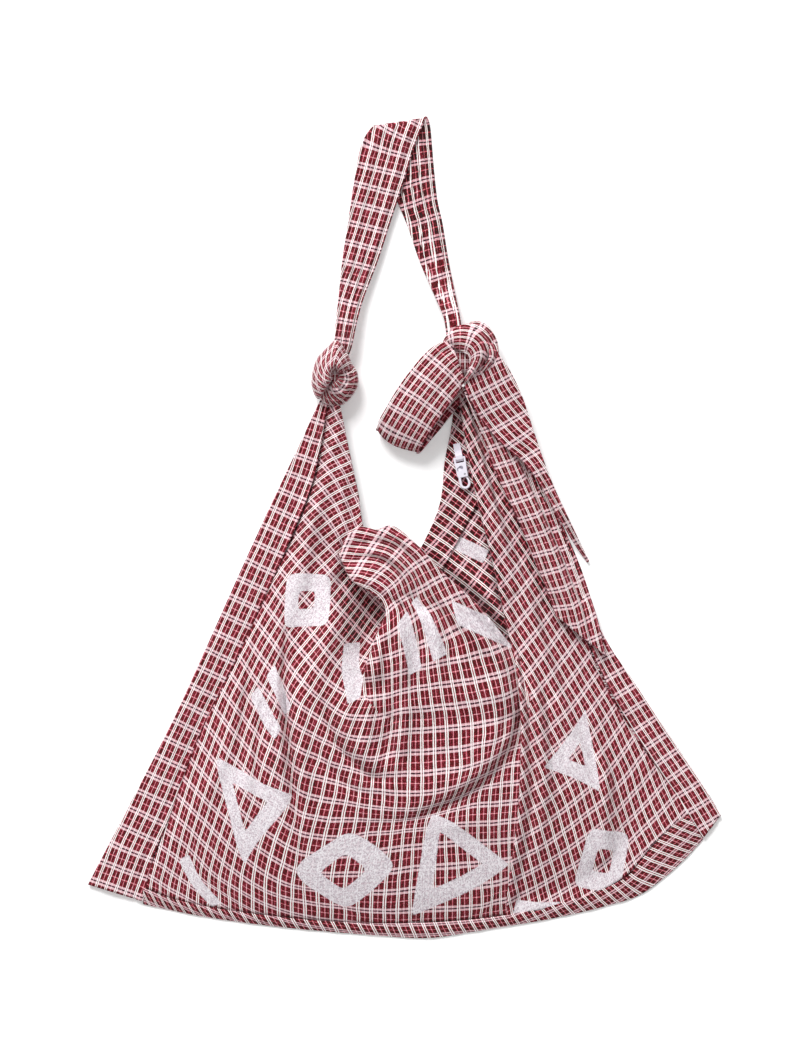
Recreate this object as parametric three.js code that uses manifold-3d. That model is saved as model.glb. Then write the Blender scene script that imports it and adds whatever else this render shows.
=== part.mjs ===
// A tie-strap hobo bag of plaid shirting cotton, lying on its back with its strap laid out above it.
// Millimetres. +Z is up off the surface, +Y runs towards the top of the strap, and the origin is
// the middle of the bag's outline, on the surface that it lies on.
import * as THREE from "three";
import { mergeVertices } from "three/addons/utils/BufferGeometryUtils.js";
import Module from "manifold-3d";

const wasm = await Module();
wasm.setup();

// Cloth and clearances
const CLOTH = 2.0; // one panel with its seam allowances and the slack air in it
const HEM_CLOTH = 3.2; // the hem's turned and stitched layers
const BAND_CLOTH = 2.4; // the double strap cloth
const GATHERED_CLOTH = 9; // the strap's cloth where it is drawn together at a knot
const SEAT = 0.3; // between pieces that rest on each other
const SEAM_GAP = 0.4; // between two panels sewn edge to edge
const DRAPE_GAP = 0.9; // under a tail that lies loosely on the cloth below

// The two knots: centre and half sizes
const LEFT_KNOT = { centre: [-70, 154.5, 21.5], radii: [23.5, 33.5, 21] };
const RIGHT_KNOT = { centre: [63.5, 172.5, 21.5], radii: [25, 31, 21] };

// Outline of the bag, from the knots down the sides and along the bottom
const LEFT_OUTER = [
  [-84.5, 128],
  [-150.5, -12.5],
  [-204.5, -132.5],
  [-232, -192.5],
  [-283.5, -292.5],
  [-318, -358.5],
];
const LEFT_FOOT = [-262.5, -375.5];
const HEM_BOTTOM = [
  [-262.5, -378.5],
  [-204.5, -390.5],
  [-124.5, -401.5],
  [-24.5, -410],
  [24, -412.5],
  [75.5, -405],
  [155.5, -391.5],
  [215.5, -376.5],
  [240.5, -367],
  [285.5, -329.5],
  [300, -313.5],
];
const RIGHT_OUTER = [
  [95.5, 142.5],
  [135.5, 57.5],
  [167.5, -27.5],
  [195.5, -100.5],
  [235.5, -162.5],
  [275.5, -222.5],
  [308.5, -272.5],
  [318, -289],
];

// Seams between the front and the strips round it
const LEFT_SEAM = [
  [-76.5, 128],
  [-91.5, 47.5],
  [-123.5, -32.5],
  [-166.5, -127.5],
  [-207.5, -212.5],
  [-236.5, -292.5],
  [-262.5, -361.5],
];
const HEM_TOP = [
  [-262.5, -361.5],
  [-224.5, -375],
  [-124.5, -391],
  [-24.5, -397.5],
  [75.5, -392.5],
  [155.5, -377.5],
  [225.5, -349],
  [250.5, -317.5],
  [285.5, -287.5],
];
const RIGHT_SEAM = [
  [89.5, 139.5],
  [120.5, 57.5],
  [155.5, -32.5],
  [198.5, -147.5],
  [235.5, -212.5],
  [285.5, -287.5],
];
const RIGHT_FOOT = [300, -312];

// The front's mouth edge, with its height off the surface, in three stretches
const MOUTH_LEFT = [
  [-64, 122, 17],
  [-55, 77.5, 18],
  [-46, 35, 17],
  [-40, -2, 22],
  [-34, -11, 29],
];
const COWL = [
  [-34, -11, 29],
  [-22, -5, 42],
  [-8, -4.5, 47],
  [15.5, -22.5, 49],
  [40.5, -50.5, 46],
  [65.5, -81.5, 40],
  [92.5, -112.5, 29],
  [109, -122, 20],
];
const MOUTH_RIGHT = [
  [109, -122, 20],
  [98, -75, 20],
  [88, -30, 20],
  [78, 20, 19],
  [72, 60, 18],
  [64, 98, 17],
  [60, 134, 16],
];

// The back's mouth edge and the seam that ends its facing
const BACK_MOUTH = [
  [52, 134],
  [47.5, 97.5],
  [41.5, 67.5],
  [36.5, 24.5],
  [21.5, -12.5],
  [0.5, -47.5],
  [-12.5, -57.5],
  [-29.5, -47.5],
  [-44.5, -12.5],
  [-54.5, 27.5],
  [-62.5, 77.5],
  [-68, 128],
];
const FACING_SEAM = [
  [66, 132],
  [73.5, 87.5],
  [76, 57.5],
  [74.5, 30.5],
  [57.5, -4.5],
  [36.5, -44.5],
  [14.5, -74.5],
];
const FACING_SHARE = 0.46; // how much of the back's mouth edge the facing follows

// Drape of the front
const SEAM_RISE = 9; // how far the gathered seams lift off the back beside the knots
const SEAM_RISE_REACH = 90;
const LIP_RADIUS = 3;
const COWL_RADIUS = 8;
const PILLOW_POWER = 1.2; // how flat the front runs out at its seams
const FRONT_ROWS = [0, 0.05, 0.12, 0.2, 0.3, 0.4, 0.5, 0.6, 0.7, 0.79, 0.87, 0.94, 1];
const LIP_TURNS = [1, 0.66, 0.33]; // shares of the half turn that the mouth edge rolls under
const FRONT_COLUMNS = { leftSide: 16, bottom: 24, rightSide: 12 };
const FRONT_FOLDS = [
  { line: [[-42, -66], [-26, -84], [-38, -112]], height: -20, width: 17 }, // hollow under the cowl
  { line: [[-62, -34], [-34, -46], [-14, -66]], height: 7, width: 10 }, // the cowl's rolled edge
  { line: [[-5, -78], [-28, -118], [-52, -178]], height: 7, width: 12 }, // edge of the pouch
  { line: [[-60, -288], [30, -290], [112, -270]], height: -9, width: 14 }, // sag crease
  { line: [[-50, -256], [30, -262], [90, -240]], height: 6, width: 18 }, // belly of the pouch
  { line: [[112, -130], [117, -200], [113, -270]], height: -9, width: 9 }, // tuck beside the pouch
  { line: [[130, -120], [134, -200], [126, -280]], height: 5, width: 12 },
  { line: [[-121, -112], [-117, -200], [-106, -370]], height: -7, width: 9 }, // tuck on the left
  { line: [[-95, 40], [-140, -110], [-190, -250]], height: 6, width: 14 }, // falls from the left knot
  { line: [[-62, 60], [-80, -60], [-98, -190]], height: 7, width: 13 },
  { line: [[78, 90], [118, -40], [160, -190]], height: 5, width: 11 }, // falls from the right knot
  { line: [[96, 60], [150, -80], [196, -250]], height: 5, width: 11 },
  { line: [[60, -345], [110, -330], [165, -285]], height: -6, width: 12 }, // crease to the right corner
];

// Strap: its two edges from the left knot up over the fold and down to the right knot
const STRAP_LEFT_EDGE = [
  [-70.5, 178, 21.5],
  [-69, 205, 19],
  [-66.5, 227.5, 14],
  [-62.5, 267.5, 10.5],
  [-56.5, 307.5, 9.5],
  [-50.5, 347.5, 9.5],
  [-44.5, 379, 9.5],
  [-40, 392, 8.8],
  [-38.5, 396, 6],
  [-36, 391, 3.2],
  [-24, 362.5, 2.6],
  [-6, 327.5, 2.4],
  [2.5, 307.5, 2.6],
  [16.5, 267.5, 4],
  [32.5, 230, 10],
  [40.5, 210, 19],
  [43.5, 190, 21.5],
];
const STRAP_RIGHT_EDGE = [
  [-53.5, 178, 21.5],
  [-47.5, 205, 19],
  [-41.5, 227.5, 14],
  [-26.5, 267.5, 10.5],
  [-13.5, 307.5, 9.5],
  [-0.5, 347.5, 9.5],
  [9, 379, 9.5],
  [19, 404, 8.8],
  [23, 411.2, 6],
  [25.5, 405, 3.2],
  [28, 362.5, 2.6],
  [32, 327.5, 2.4],
  [36.5, 307.5, 2.6],
  [43, 267.5, 4],
  [50.5, 230, 10],
  [54.5, 210, 19],
  [57, 190, 21.5],
];
const STRAP_STEPS = 3; // stations between two of the points above
const STRAP_COLUMNS = 8;
const STRAP_PLEATS = 2;
const STRAP_PLEAT_DEPTH = 1.1;

// Half bow: the edges of its loop, out along the top and back underneath
const BOW_LEFT_EDGE = [
  [44, 186, 26],
  [25.5, 180.5, 29],
  [5.5, 159.5, 30],
  [-16, 128, 28],
  [-25, 109, 23],
  [-27, 102.5, 15],
  [-23.5, 107, 8],
  [-14, 122, 5.6],
  [6, 148, 5.6],
  [25, 167, 9.5],
  [44, 180, 21],
];
const BOW_RIGHT_EDGE = [
  [62, 143, 26],
  [51, 121, 29],
  [36, 104, 30],
  [22.5, 92.5, 28],
  [15.5, 82.5, 23],
  [13.5, 76.5, 15],
  [14, 83.5, 8],
  [21.5, 95, 5.6],
  [34, 108, 6.5],
  [50, 125, 11.5],
  [60, 146, 21],
];
const BOW_STEPS = 3;
const BOW_COLUMNS = 8;
const BOW_CROWN = 3; // how much the loop's top layer rises between its edges
const BOW_OUT = [-0.8, -0.6, 0]; // the way the loop leaves its knot

// Tails of the tie: their two edges, from the knot down
const WIDE_TAIL_LEFT = [
  [72, 150],
  [77.5, 127.5],
  [90.5, 87.5],
  [103.5, 47.5],
  [115.5, 7.5],
  [125.5, -27.5],
  [140.5, -62.5],
  [152.5, -94.5],
];
const WIDE_TAIL_RIGHT = [
  [98, 150],
  [105.5, 127.5],
  [125.5, 90],
  [144.5, 47.5],
  [161, 2.5],
  [174.5, -37.5],
  [186, -75],
  [198, -112.5],
];
const POINTED_TAIL_LEFT = [
  [68, 152],
  [75.5, 125],
  [82.5, 102.5],
  [95.5, 83],
  [111.5, 66],
  [130.5, 43],
  [147.5, 17],
  [163.5, -10],
  [181.5, -35],
];
const POINTED_TAIL_RIGHT = [
  [97, 168],
  [109, 149],
  [120, 126],
  [129.5, 101],
  [137, 76],
  [147.5, 48],
  [160.5, 20],
  [173.5, -8],
  [186, -33],
];
const TAIL_STEPS = 2;
const TAIL_COLUMNS = 6;
const TAIL_PLEAT_DEPTH = 1.2;
const TAIL_OUT = [0.47, -0.883, 0]; // the way the pointed tail leaves its knot

// Key clip, in its own frame: x across, y back up its length, z through it, zero at its eye bar
const CLIP_EYE = [55, 69.5, 8];
const CLIP_LEAN = THREE.MathUtils.degToRad(11);
const CLIP_THICK = 4;
const CLIP_BEVEL = 0.5;
const EYE_BAR = 1.2; // half the eye bar's depth
const EYE_HALF_WIDTH = 6;
const EYE_SLOT_HALF_WIDTH = 3.9;
const EYE_SLOT_DEPTH = 3.4;
const CLIP_WAIST = 5.4;
const CLIP_BODY_END = -19.6;
const HOOK_CENTRE = [0.9, -26];
const HOOK_OUTER = 5.6;
const HOOK_INNER = 3.1;
const HOOK_TIP = -23.6;
const GATE_PIVOT = [2.4, -16.6];
const GATE_PAD = [-2.4, -11];
const GATE_PAD_RADIUS = 1.6;
const GATE_HUB_RADIUS = 1.9;
const GATE_FINGER = [4.9, -23.1];
const GATE_FINGER_HALF_WIDTH = 0.9;
const GATE_THICK = 1.6;
const GATE_SLOT_HEIGHT = 2.2;
const GATE_SWING = THREE.MathUtils.degToRad(20);
const GATE_ROOM = 0.5; // round the gate in its slot and its window
const PIN_RADIUS = 0.7;
const PIN_ROOM = 0.3;

// Ribbon that carries the clip
const TAB_WIDTH = 7;
const TAB_CLOTH = 0.6;
const TAB_LENGTH = 15;
const TAB_BAR_ROOM = 0.3;

const BACK_TOP = CLOTH;
const SECOND_LAYER = BACK_TOP + SEAT;

// Shape helpers

/** A smooth curve through points given as [x, y] or [x, y, z]. */
function curveThrough(points) {
  return new THREE.CatmullRomCurve3(
    points.map(([x, y, z = 0]) => new THREE.Vector3(x, y, z)),
    false,
    "centripetal",
  );
}

/** Points at even steps between the points of a list, ends included. */
function stationsAlong(points, steps) {
  return curveThrough(points).getPoints((points.length - 1) * steps);
}

/** Points at even distances along a curve, ends included. */
function evenPoints(points, count) {
  return curveThrough(points).getSpacedPoints(count);
}

/** Turns a closed geometry's faces outwards if they face inwards. */
function facingOut(geometry) {
  const position = geometry.getAttribute("position");
  const index = geometry.index.array;
  const [a, b, c] = [new THREE.Vector3(), new THREE.Vector3(), new THREE.Vector3()];
  let volume = 0;
  for (let i = 0; i < index.length; i += 3) {
    a.fromBufferAttribute(position, index[i]);
    b.fromBufferAttribute(position, index[i + 1]);
    c.fromBufferAttribute(position, index[i + 2]);
    volume += a.dot(b.cross(c));
  }
  if (volume < 0) {
    for (let i = 0; i < index.length; i += 3) {
      [index[i + 1], index[i + 2]] = [index[i + 2], index[i + 1]];
    }
  }
  return geometry;
}

/** The normal of a grid of points at one of them. */
function gridNormal(grid, i, j) {
  const lastI = grid.length - 1;
  const lastJ = grid[0].length - 1;
  const along = grid[Math.min(i + 1, lastI)][j].clone().sub(grid[Math.max(i - 1, 0)][j]);
  const across = grid[i][Math.min(j + 1, lastJ)].clone().sub(grid[i][Math.max(j - 1, 0)]);
  return along.cross(across).normalize();
}

/** A closed sheet of cloth round a grid of points on its middle surface. */
function sheetSolid(grid, thicknessAt, uprightEnd = false) {
  const columns = grid.length;
  const rows = grid[0].length;
  const positions = [];
  for (const side of [0.5, -0.5]) {
    for (let i = 0; i < columns; i++) {
      for (let j = 0; j < rows; j++) {
        const offset = side * thicknessAt(i / (columns - 1));
        const normal = gridNormal(grid, i, j);
        if (uprightEnd && j === rows - 1) normal.set(0, 0, Math.sign(normal.z));
        const point = grid[i][j].clone().addScaledVector(normal, offset);
        positions.push(point.x, point.y, point.z);
      }
    }
  }
  const under = columns * rows;
  const at = (i, j) => i * rows + j;
  const triangles = [];
  const addQuad = (a, b, c, d) => triangles.push(a, b, c, a, c, d);
  for (let i = 0; i + 1 < columns; i++) {
    for (let j = 0; j + 1 < rows; j++) {
      const corners = [at(i, j), at(i + 1, j), at(i + 1, j + 1), at(i, j + 1)];
      addQuad(...corners);
      addQuad(...corners.map((corner) => corner + under).reverse());
    }
  }
  const rim = [];
  for (let i = 0; i < columns; i++) rim.push(at(i, 0));
  for (let j = 1; j < rows; j++) rim.push(at(columns - 1, j));
  for (let i = columns - 2; i >= 0; i--) rim.push(at(i, rows - 1));
  for (let j = rows - 2; j > 0; j--) rim.push(at(0, j));
  rim.forEach((point, k) => {
    const next = rim[(k + 1) % rim.length];
    addQuad(next, point, point + under, next + under);
  });
  const geometry = new THREE.BufferGeometry();
  geometry.setAttribute("position", new THREE.Float32BufferAttribute(positions, 3));
  geometry.setIndex(triangles);
  return facingOut(geometry);
}

/** A grid of points ruled between two edges, raised by a height at each point. */
function ruledGrid(firstEdge, secondEdge, rows, heightAt) {
  return firstEdge.map((first, i) => {
    const along = i / (firstEdge.length - 1);
    const row = [];
    for (let j = 0; j <= rows; j++) {
      const point = first.clone().lerp(secondEdge[i], j / rows);
      point.z += heightAt(along, j / rows, point);
      row.push(point);
    }
    return row;
  });
}

/** A manifold solid from a closed geometry. */
function toSolid(geometry) {
  const bare = geometry.clone();
  bare.deleteAttribute("normal");
  bare.deleteAttribute("uv");
  const merged = mergeVertices(bare, 1e-4);
  return new wasm.Manifold(
    new wasm.Mesh({
      numProp: 3,
      vertProperties: merged.getAttribute("position").array,
      triVerts: new Uint32Array(merged.index.array),
    }),
  );
}

/** A geometry from a manifold solid. */
function fromSolid(solid) {
  const mesh = solid.getMesh();
  const geometry = new THREE.BufferGeometry();
  geometry.setAttribute("position", new THREE.Float32BufferAttribute(mesh.vertProperties, 3));
  geometry.setIndex(new THREE.BufferAttribute(mesh.triVerts, 1));
  return geometry;
}

/** A geometry with other geometries cut away from it. */
function cutFrom(geometry, cutters) {
  let solid = toSolid(geometry);
  for (const cutter of cutters) solid = solid.subtract(toSolid(cutter));
  return fromSolid(solid);
}

/** A round bar of a length through a point, along a direction. */
function roundBar(centre, direction, radius, length, sides = 64) {
  const bar = new THREE.CylinderGeometry(radius, radius, length, sides);
  const turn = new THREE.Quaternion();
  turn.setFromUnitVectors(new THREE.Vector3(0, 1, 0), direction.clone().normalize());
  return bar.applyQuaternion(turn).translate(centre.x, centre.y, centre.z);
}

const vector = (list) => new THREE.Vector3(...list);

// Knots

const KNOT_SIDES = 40;
const KNOT_RINGS = 26;
const LEFT_KNOT_FOLDS = [
  { facing: [0.62, 0.78, 0.1], at: 0.42, depth: 0.07, width: 0.06 },
  { facing: [0.5, 0.86, 0.1], at: -0.02, depth: 0.14, width: 0.07 },
  { facing: [-0.88, 0.4, 0.25], at: 0.1, depth: 0.08, width: 0.06 },
  { facing: [0.8, -0.6, 0], at: 0.34, depth: 0.07, width: 0.06 },
  { facing: [0.9, -0.42, 0], at: 0.66, depth: 0.06, width: 0.05 },
];
const RIGHT_KNOT_FOLDS = [
  { facing: [0.86, 0.5, 0.1], at: -0.32, depth: 0.12, width: 0.07 },
  { facing: [0.86, 0.5, 0.1], at: 0.06, depth: 0.05, width: 0.06 },
  { facing: [0.86, 0.5, 0.1], at: 0.42, depth: 0.1, width: 0.07 },
  { facing: [0.3, 0.95, 0], at: -0.3, depth: 0.08, width: 0.06 },
];

/** An ellipsoid over a knot, larger than it by a clearance. */
function knotSpace(knot, clearance) {
  const ball = new THREE.SphereGeometry(1, KNOT_SIDES, KNOT_RINGS).rotateX(Math.PI / 2);
  const [rx, ry, rz] = knot.radii.map((radius) => radius + clearance);
  return ball.scale(rx, ry, rz).translate(...knot.centre);
}

/** A tied knot: a ball with the grooves where its wraps cross. */
function knotGeometry(knot, folds) {
  const ball = new THREE.SphereGeometry(1, KNOT_SIDES, KNOT_RINGS).rotateX(Math.PI / 2);
  const position = ball.getAttribute("position");
  const direction = new THREE.Vector3();
  for (let i = 0; i < position.count; i++) {
    direction.fromBufferAttribute(position, i).normalize();
    let radius = 1;
    for (const fold of folds) {
      const off = (direction.dot(vector(fold.facing).normalize()) - fold.at) / fold.width;
      radius -= fold.depth * Math.exp(-off * off);
    }
    direction.multiplyScalar(radius);
    position.setXYZ(i, direction.x, direction.y, direction.z);
  }
  ball.scale(...knot.radii).translate(...knot.centre);
  return fromSolid(toSolid(ball));
}

/** How far a knot reaches from its centre along a direction. */
function knotReach(knot, direction) {
  return vector(knot.radii).multiply(direction).length();
}

/** The round space that a tied-on piece turns about, so that it clears its knot at every angle. */
function rootSpace(knot, axis, out) {
  const length = 4 * Math.max(...knot.radii);
  return roundBar(vector(knot.centre), axis, knotReach(knot, out) + SEAT, length);
}

const UP = new THREE.Vector3(0, 0, 1);
const strapAxis = vector(RIGHT_KNOT.centre).sub(vector(LEFT_KNOT.centre)).normalize();
const strapOut = UP.clone().cross(strapAxis);
const bowOut = vector(BOW_OUT).normalize();
const bowAxis = bowOut.clone().cross(UP);
const tailOut = vector(TAIL_OUT).normalize();
const tailAxis = tailOut.clone().cross(UP);
const knotClearances = [LEFT_KNOT, RIGHT_KNOT].map((knot) => knotSpace(knot, SEAT));

// Flat panels

/** The lift of a gathered seam off the back, which dies away from the knots. */
function seamRise(point) {
  const reach = (knot) => Math.hypot(point.x - knot.centre[0], point.y - knot.centre[1]);
  const nearest = Math.min(reach(LEFT_KNOT) - 30, reach(RIGHT_KNOT) - 30);
  const share = THREE.MathUtils.clamp(1 - nearest / SEAM_RISE_REACH, 0, 1);
  return SEAM_RISE * share * share;
}

/** The back, flat on the surface, with the bag's outline and its own mouth edge. */
function backPanel() {
  const outline = [
    ...stationsAlong(LEFT_OUTER, 2),
    new THREE.Vector3(...LEFT_FOOT, 0),
    ...stationsAlong(HEM_BOTTOM, 2),
    ...stationsAlong(RIGHT_OUTER, 2).reverse(),
    ...stationsAlong(BACK_MOUTH, 3),
  ];
  const shape = new THREE.Shape(outline.map(({ x, y }) => new THREE.Vector2(x, y)));
  const slab = new THREE.ExtrudeGeometry(shape, { depth: CLOTH, bevelEnabled: false });
  return cutFrom(slab, knotClearances);
}

/** The facing along the right part of the back's mouth edge. */
function backFacing() {
  const mouth = curveThrough(BACK_MOUTH);
  const seam = curveThrough(FACING_SEAM);
  const steps = 22;
  const first = [];
  const second = [];
  for (let i = 0; i <= steps; i++) {
    first.push(mouth.getPoint((FACING_SHARE * i) / steps));
    second.push(seam.getPoint(i / steps));
  }
  const grid = ruledGrid(first, second, 2, () => SECOND_LAYER + CLOTH / 2);
  return cutFrom(sheetSolid(grid, () => CLOTH), knotClearances);
}

// The seams, as the points that the front shares with the strips beside it
const leftSeam = evenPoints(LEFT_SEAM, FRONT_COLUMNS.leftSide);
const hemSeam = evenPoints(HEM_TOP, FRONT_COLUMNS.bottom);
const rightSeam = evenPoints(RIGHT_SEAM, FRONT_COLUMNS.rightSide);

/** A strip sewn beside the front, between an outer edge and a seam. */
function sideBand(outerPoints, seamPoints, foot, seamShift) {
  const seam = [...seamPoints, new THREE.Vector3(...foot, 0)].map((point) => point.clone());
  for (const point of seam) point.x += seamShift;
  const outer = evenPoints(outerPoints, seam.length - 1);
  const rise = (along, across, point) => SECOND_LAYER + CLOTH / 2 + seamRise(point);
  return ruledGrid(outer, seam, 3, rise);
}

const leftBandGrid = sideBand(LEFT_OUTER, leftSeam, LEFT_FOOT, -SEAM_GAP / 2);
const rightBandGrid = sideBand(RIGHT_OUTER, rightSeam, RIGHT_FOOT, SEAM_GAP / 2);

/** Draws the last point of an edge back along it by a distance. */
function shorten(points, distance) {
  const [last, before] = [points.at(-1), points.at(-2)];
  last.addScaledVector(before.clone().sub(last).normalize(), distance);
}

/** The hem strip along the bottom, between the foot ends of the two side bands. */
function bottomHem() {
  const top = hemSeam.map((point) => point.clone());
  const bottom = evenPoints(HEM_BOTTOM, FRONT_COLUMNS.bottom);
  for (const point of top) point.y -= SEAM_GAP / 2;
  for (const edge of [top, bottom]) {
    shorten(edge, SEAM_GAP);
    edge.reverse();
    shorten(edge, SEAM_GAP);
  }
  const grid = ruledGrid(top, bottom, 2, () => SECOND_LAYER + HEM_CLOTH / 2);
  return sheetSolid(grid, () => HEM_CLOTH);
}

// The draped front

/** Distance from a point to a folded line, and how far along it the nearest place is. */
function distanceToLine(x, y, line) {
  let best = { distance: Infinity, along: 0 };
  const spans = line.length - 1;
  for (let i = 0; i < spans; i++) {
    const [ax, ay] = line[i];
    const [bx, by] = line[i + 1];
    const [dx, dy] = [bx - ax, by - ay];
    const share = ((x - ax) * dx + (y - ay) * dy) / (dx * dx + dy * dy);
    const t = THREE.MathUtils.clamp(share, 0, 1);
    const distance = Math.hypot(x - ax - t * dx, y - ay - t * dy);
    if (distance < best.distance) best = { distance, along: (i + t) / spans };
  }
  return best;
}

/** The height that the named folds add at a place. */
function foldHeight(x, y) {
  let height = 0;
  for (const fold of FRONT_FOLDS) {
    const { distance, along } = distanceToLine(x, y, fold.line);
    const taper = 0.35 + 0.65 * Math.sin(Math.PI * along);
    height += fold.height * taper * Math.exp(-((distance / fold.width) ** 2));
  }
  return height;
}

/** The front's middle surface, from the rolled mouth edge to the seams and the hem. */
function frontGrid() {
  const { leftSide, bottom, rightSide } = FRONT_COLUMNS;
  const mouth = [
    ...evenPoints(MOUTH_LEFT, leftSide).slice(0, -1),
    ...evenPoints(COWL, bottom).slice(0, -1),
    ...evenPoints(MOUTH_RIGHT, rightSide),
  ];
  const seam = [...leftSeam.slice(0, -1), ...hemSeam.slice(0, -1), ...[...rightSeam].reverse()];
  return mouth.map((edge, i) => {
    const end = seam[i].clone();
    end.x += i < leftSide ? SEAM_GAP / 2 : 0;
    end.x -= i >= leftSide + bottom ? SEAM_GAP / 2 : 0;
    end.y += i >= leftSide && i <= leftSide + bottom ? SEAM_GAP / 2 : 0;
    end.z = SECOND_LAYER + CLOTH / 2 + seamRise(end);
    const inward = new THREE.Vector3(end.x - edge.x, end.y - edge.y, 0).normalize();
    const onCowl = THREE.MathUtils.clamp((i - leftSide) / bottom, 0, 1);
    const radius = LIP_RADIUS + (COWL_RADIUS - LIP_RADIUS) * Math.sin(Math.PI * onCowl);
    const row = LIP_TURNS.map((turn) => {
      const angle = Math.PI * turn;
      const lip = edge.clone().addScaledVector(inward, radius * (1 - Math.sin(angle)));
      lip.z -= radius * (1 - Math.cos(angle));
      return lip;
    });
    for (const v of FRONT_ROWS) {
      const level = (1 - v * v) ** PILLOW_POWER;
      const reach = edge.clone().addScaledVector(inward, radius).lerp(end, v);
      const free = Math.sin(Math.PI * Math.min(1, 1.15 * v + 0.12)) ** 0.6;
      reach.z = end.z + (edge.z - end.z) * level + Math.max(0, free) * foldHeight(reach.x, reach.y);
      row.push(reach);
    }
    return row;
  });
}

const front = frontGrid();

// Pieces that lie on the front

/** The highest point of some grids over a place, or the back's top where none lies there. */
function heightOver(grids, x, y) {
  const place = new THREE.Vector3(x, y, 0);
  const shares = new THREE.Vector3();
  const corners = [new THREE.Vector3(), new THREE.Vector3(), new THREE.Vector3()];
  let height = BACK_TOP;
  const test = (a, b, c) => {
    [a, b, c].forEach((point, k) => corners[k].set(point.x, point.y, 0));
    if (!THREE.Triangle.getBarycoord(place, ...corners, shares)) return;
    if (Math.min(shares.x, shares.y, shares.z) < 0) return;
    height = Math.max(height, a.z * shares.x + b.z * shares.y + c.z * shares.z);
  };
  for (const grid of grids) {
    for (let i = 0; i + 1 < grid.length; i++) {
      for (let j = 0; j + 1 < grid[0].length; j++) {
        test(grid[i][j], grid[i + 1][j], grid[i + 1][j + 1]);
        test(grid[i][j], grid[i + 1][j + 1], grid[i][j + 1]);
      }
    }
  }
  return height;
}

/** A tail's grid, laid over the grids below it so that no fold of theirs comes through. */
function laidGrid(leftPoints, rightPoints, below, startHeight) {
  const left = stationsAlong(leftPoints, TAIL_STEPS);
  const right = stationsAlong(rightPoints, TAIL_STEPS);
  const reach = 9;
  const rest = (along, across, point) => {
    let height = 0;
    for (let k = 0; k < 9; k++) {
      const angle = (k * Math.PI) / 4;
      const away = k === 8 ? 0 : reach;
      const x = point.x + away * Math.cos(angle);
      const y = point.y + away * Math.sin(angle);
      height = Math.max(height, heightOver(below, x, y));
    }
    const pleat = TAIL_PLEAT_DEPTH * (1 - Math.cos(4 * Math.PI * across)) * (1 - along);
    const knotward = Math.max(0, 1 - along / 0.3);
    const laid = height + (CLOTH + BAND_CLOTH) / 2 + DRAPE_GAP + pleat;
    return Math.max(laid, startHeight * knotward);
  };
  return ruledGrid(left, right, TAIL_COLUMNS, rest);
}

const wideTail = laidGrid(
  WIDE_TAIL_LEFT,
  WIDE_TAIL_RIGHT,
  [front, rightBandGrid],
  RIGHT_KNOT.centre[2] - 6,
);
const pointedTail = laidGrid(
  POINTED_TAIL_LEFT,
  POINTED_TAIL_RIGHT,
  [front, rightBandGrid, wideTail],
  RIGHT_KNOT.centre[2] + 4,
);

// Strap and bow

/** Thickness of a band that is gathered at one or both of its ends. */
function gathered(thin, thick, reach, bothEnds) {
  return (along) => {
    const fromEnd = bothEnds ? Math.min(along, 1 - along) : along;
    const share = THREE.MathUtils.clamp(1 - fromEnd / reach, 0, 1);
    return thin + (thick - thin) * share * share;
  };
}

/** The shoulder strap, gathered into both knots and folded over at its top. */
function shoulderStrap() {
  const left = stationsAlong(STRAP_LEFT_EDGE, STRAP_STEPS);
  const right = stationsAlong(STRAP_RIGHT_EDGE, STRAP_STEPS);
  const pleats = (along, across) => {
    const slack = 1 - Math.sin(Math.PI * along) ** 2;
    return STRAP_PLEAT_DEPTH * slack * Math.cos(2 * Math.PI * STRAP_PLEATS * across);
  };
  const grid = ruledGrid(left, right, STRAP_COLUMNS, pleats);
  const band = sheetSolid(grid, gathered(BAND_CLOTH, GATHERED_CLOTH, 0.2, true));
  const roots = [LEFT_KNOT, RIGHT_KNOT].map((knot) => rootSpace(knot, strapAxis, strapOut));
  // Each root is cut only beside its own knot.
  return cutFrom(band, roots);
}

/** The loop of the half bow: out along the top, round its end and back underneath. */
function bowLoop() {
  const left = stationsAlong(BOW_LEFT_EDGE, BOW_STEPS);
  const right = stationsAlong(BOW_RIGHT_EDGE, BOW_STEPS);
  const crown = (along, across) =>
    BOW_CROWN * Math.sin(Math.PI * across) * Math.max(0, Math.cos(Math.PI * along));
  const grid = ruledGrid(left, right, BOW_COLUMNS, crown);
  const loop = sheetSolid(grid, () => BAND_CLOTH);
  return cutFrom(loop, [rootSpace(RIGHT_KNOT, bowAxis, bowOut)]);
}

/** The loose tail with the pointed end. */
function pointedTailSolid() {
  const tail = sheetSolid(pointedTail, () => BAND_CLOTH);
  return cutFrom(tail, [rootSpace(RIGHT_KNOT, tailAxis, tailOut)]);
}

// Key clip

/** A shape pushed through a thickness, centred on z = 0. */
function plate(shape, thickness, bevel = 0) {
  const solid = new THREE.ExtrudeGeometry(shape, {
    depth: thickness - 2 * bevel,
    bevelEnabled: bevel > 0,
    bevelSize: bevel,
    bevelOffset: -bevel,
    bevelThickness: bevel,
    bevelSegments: 1,
    curveSegments: 6,
  });
  return solid.translate(0, 0, bevel - thickness / 2);
}

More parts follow.
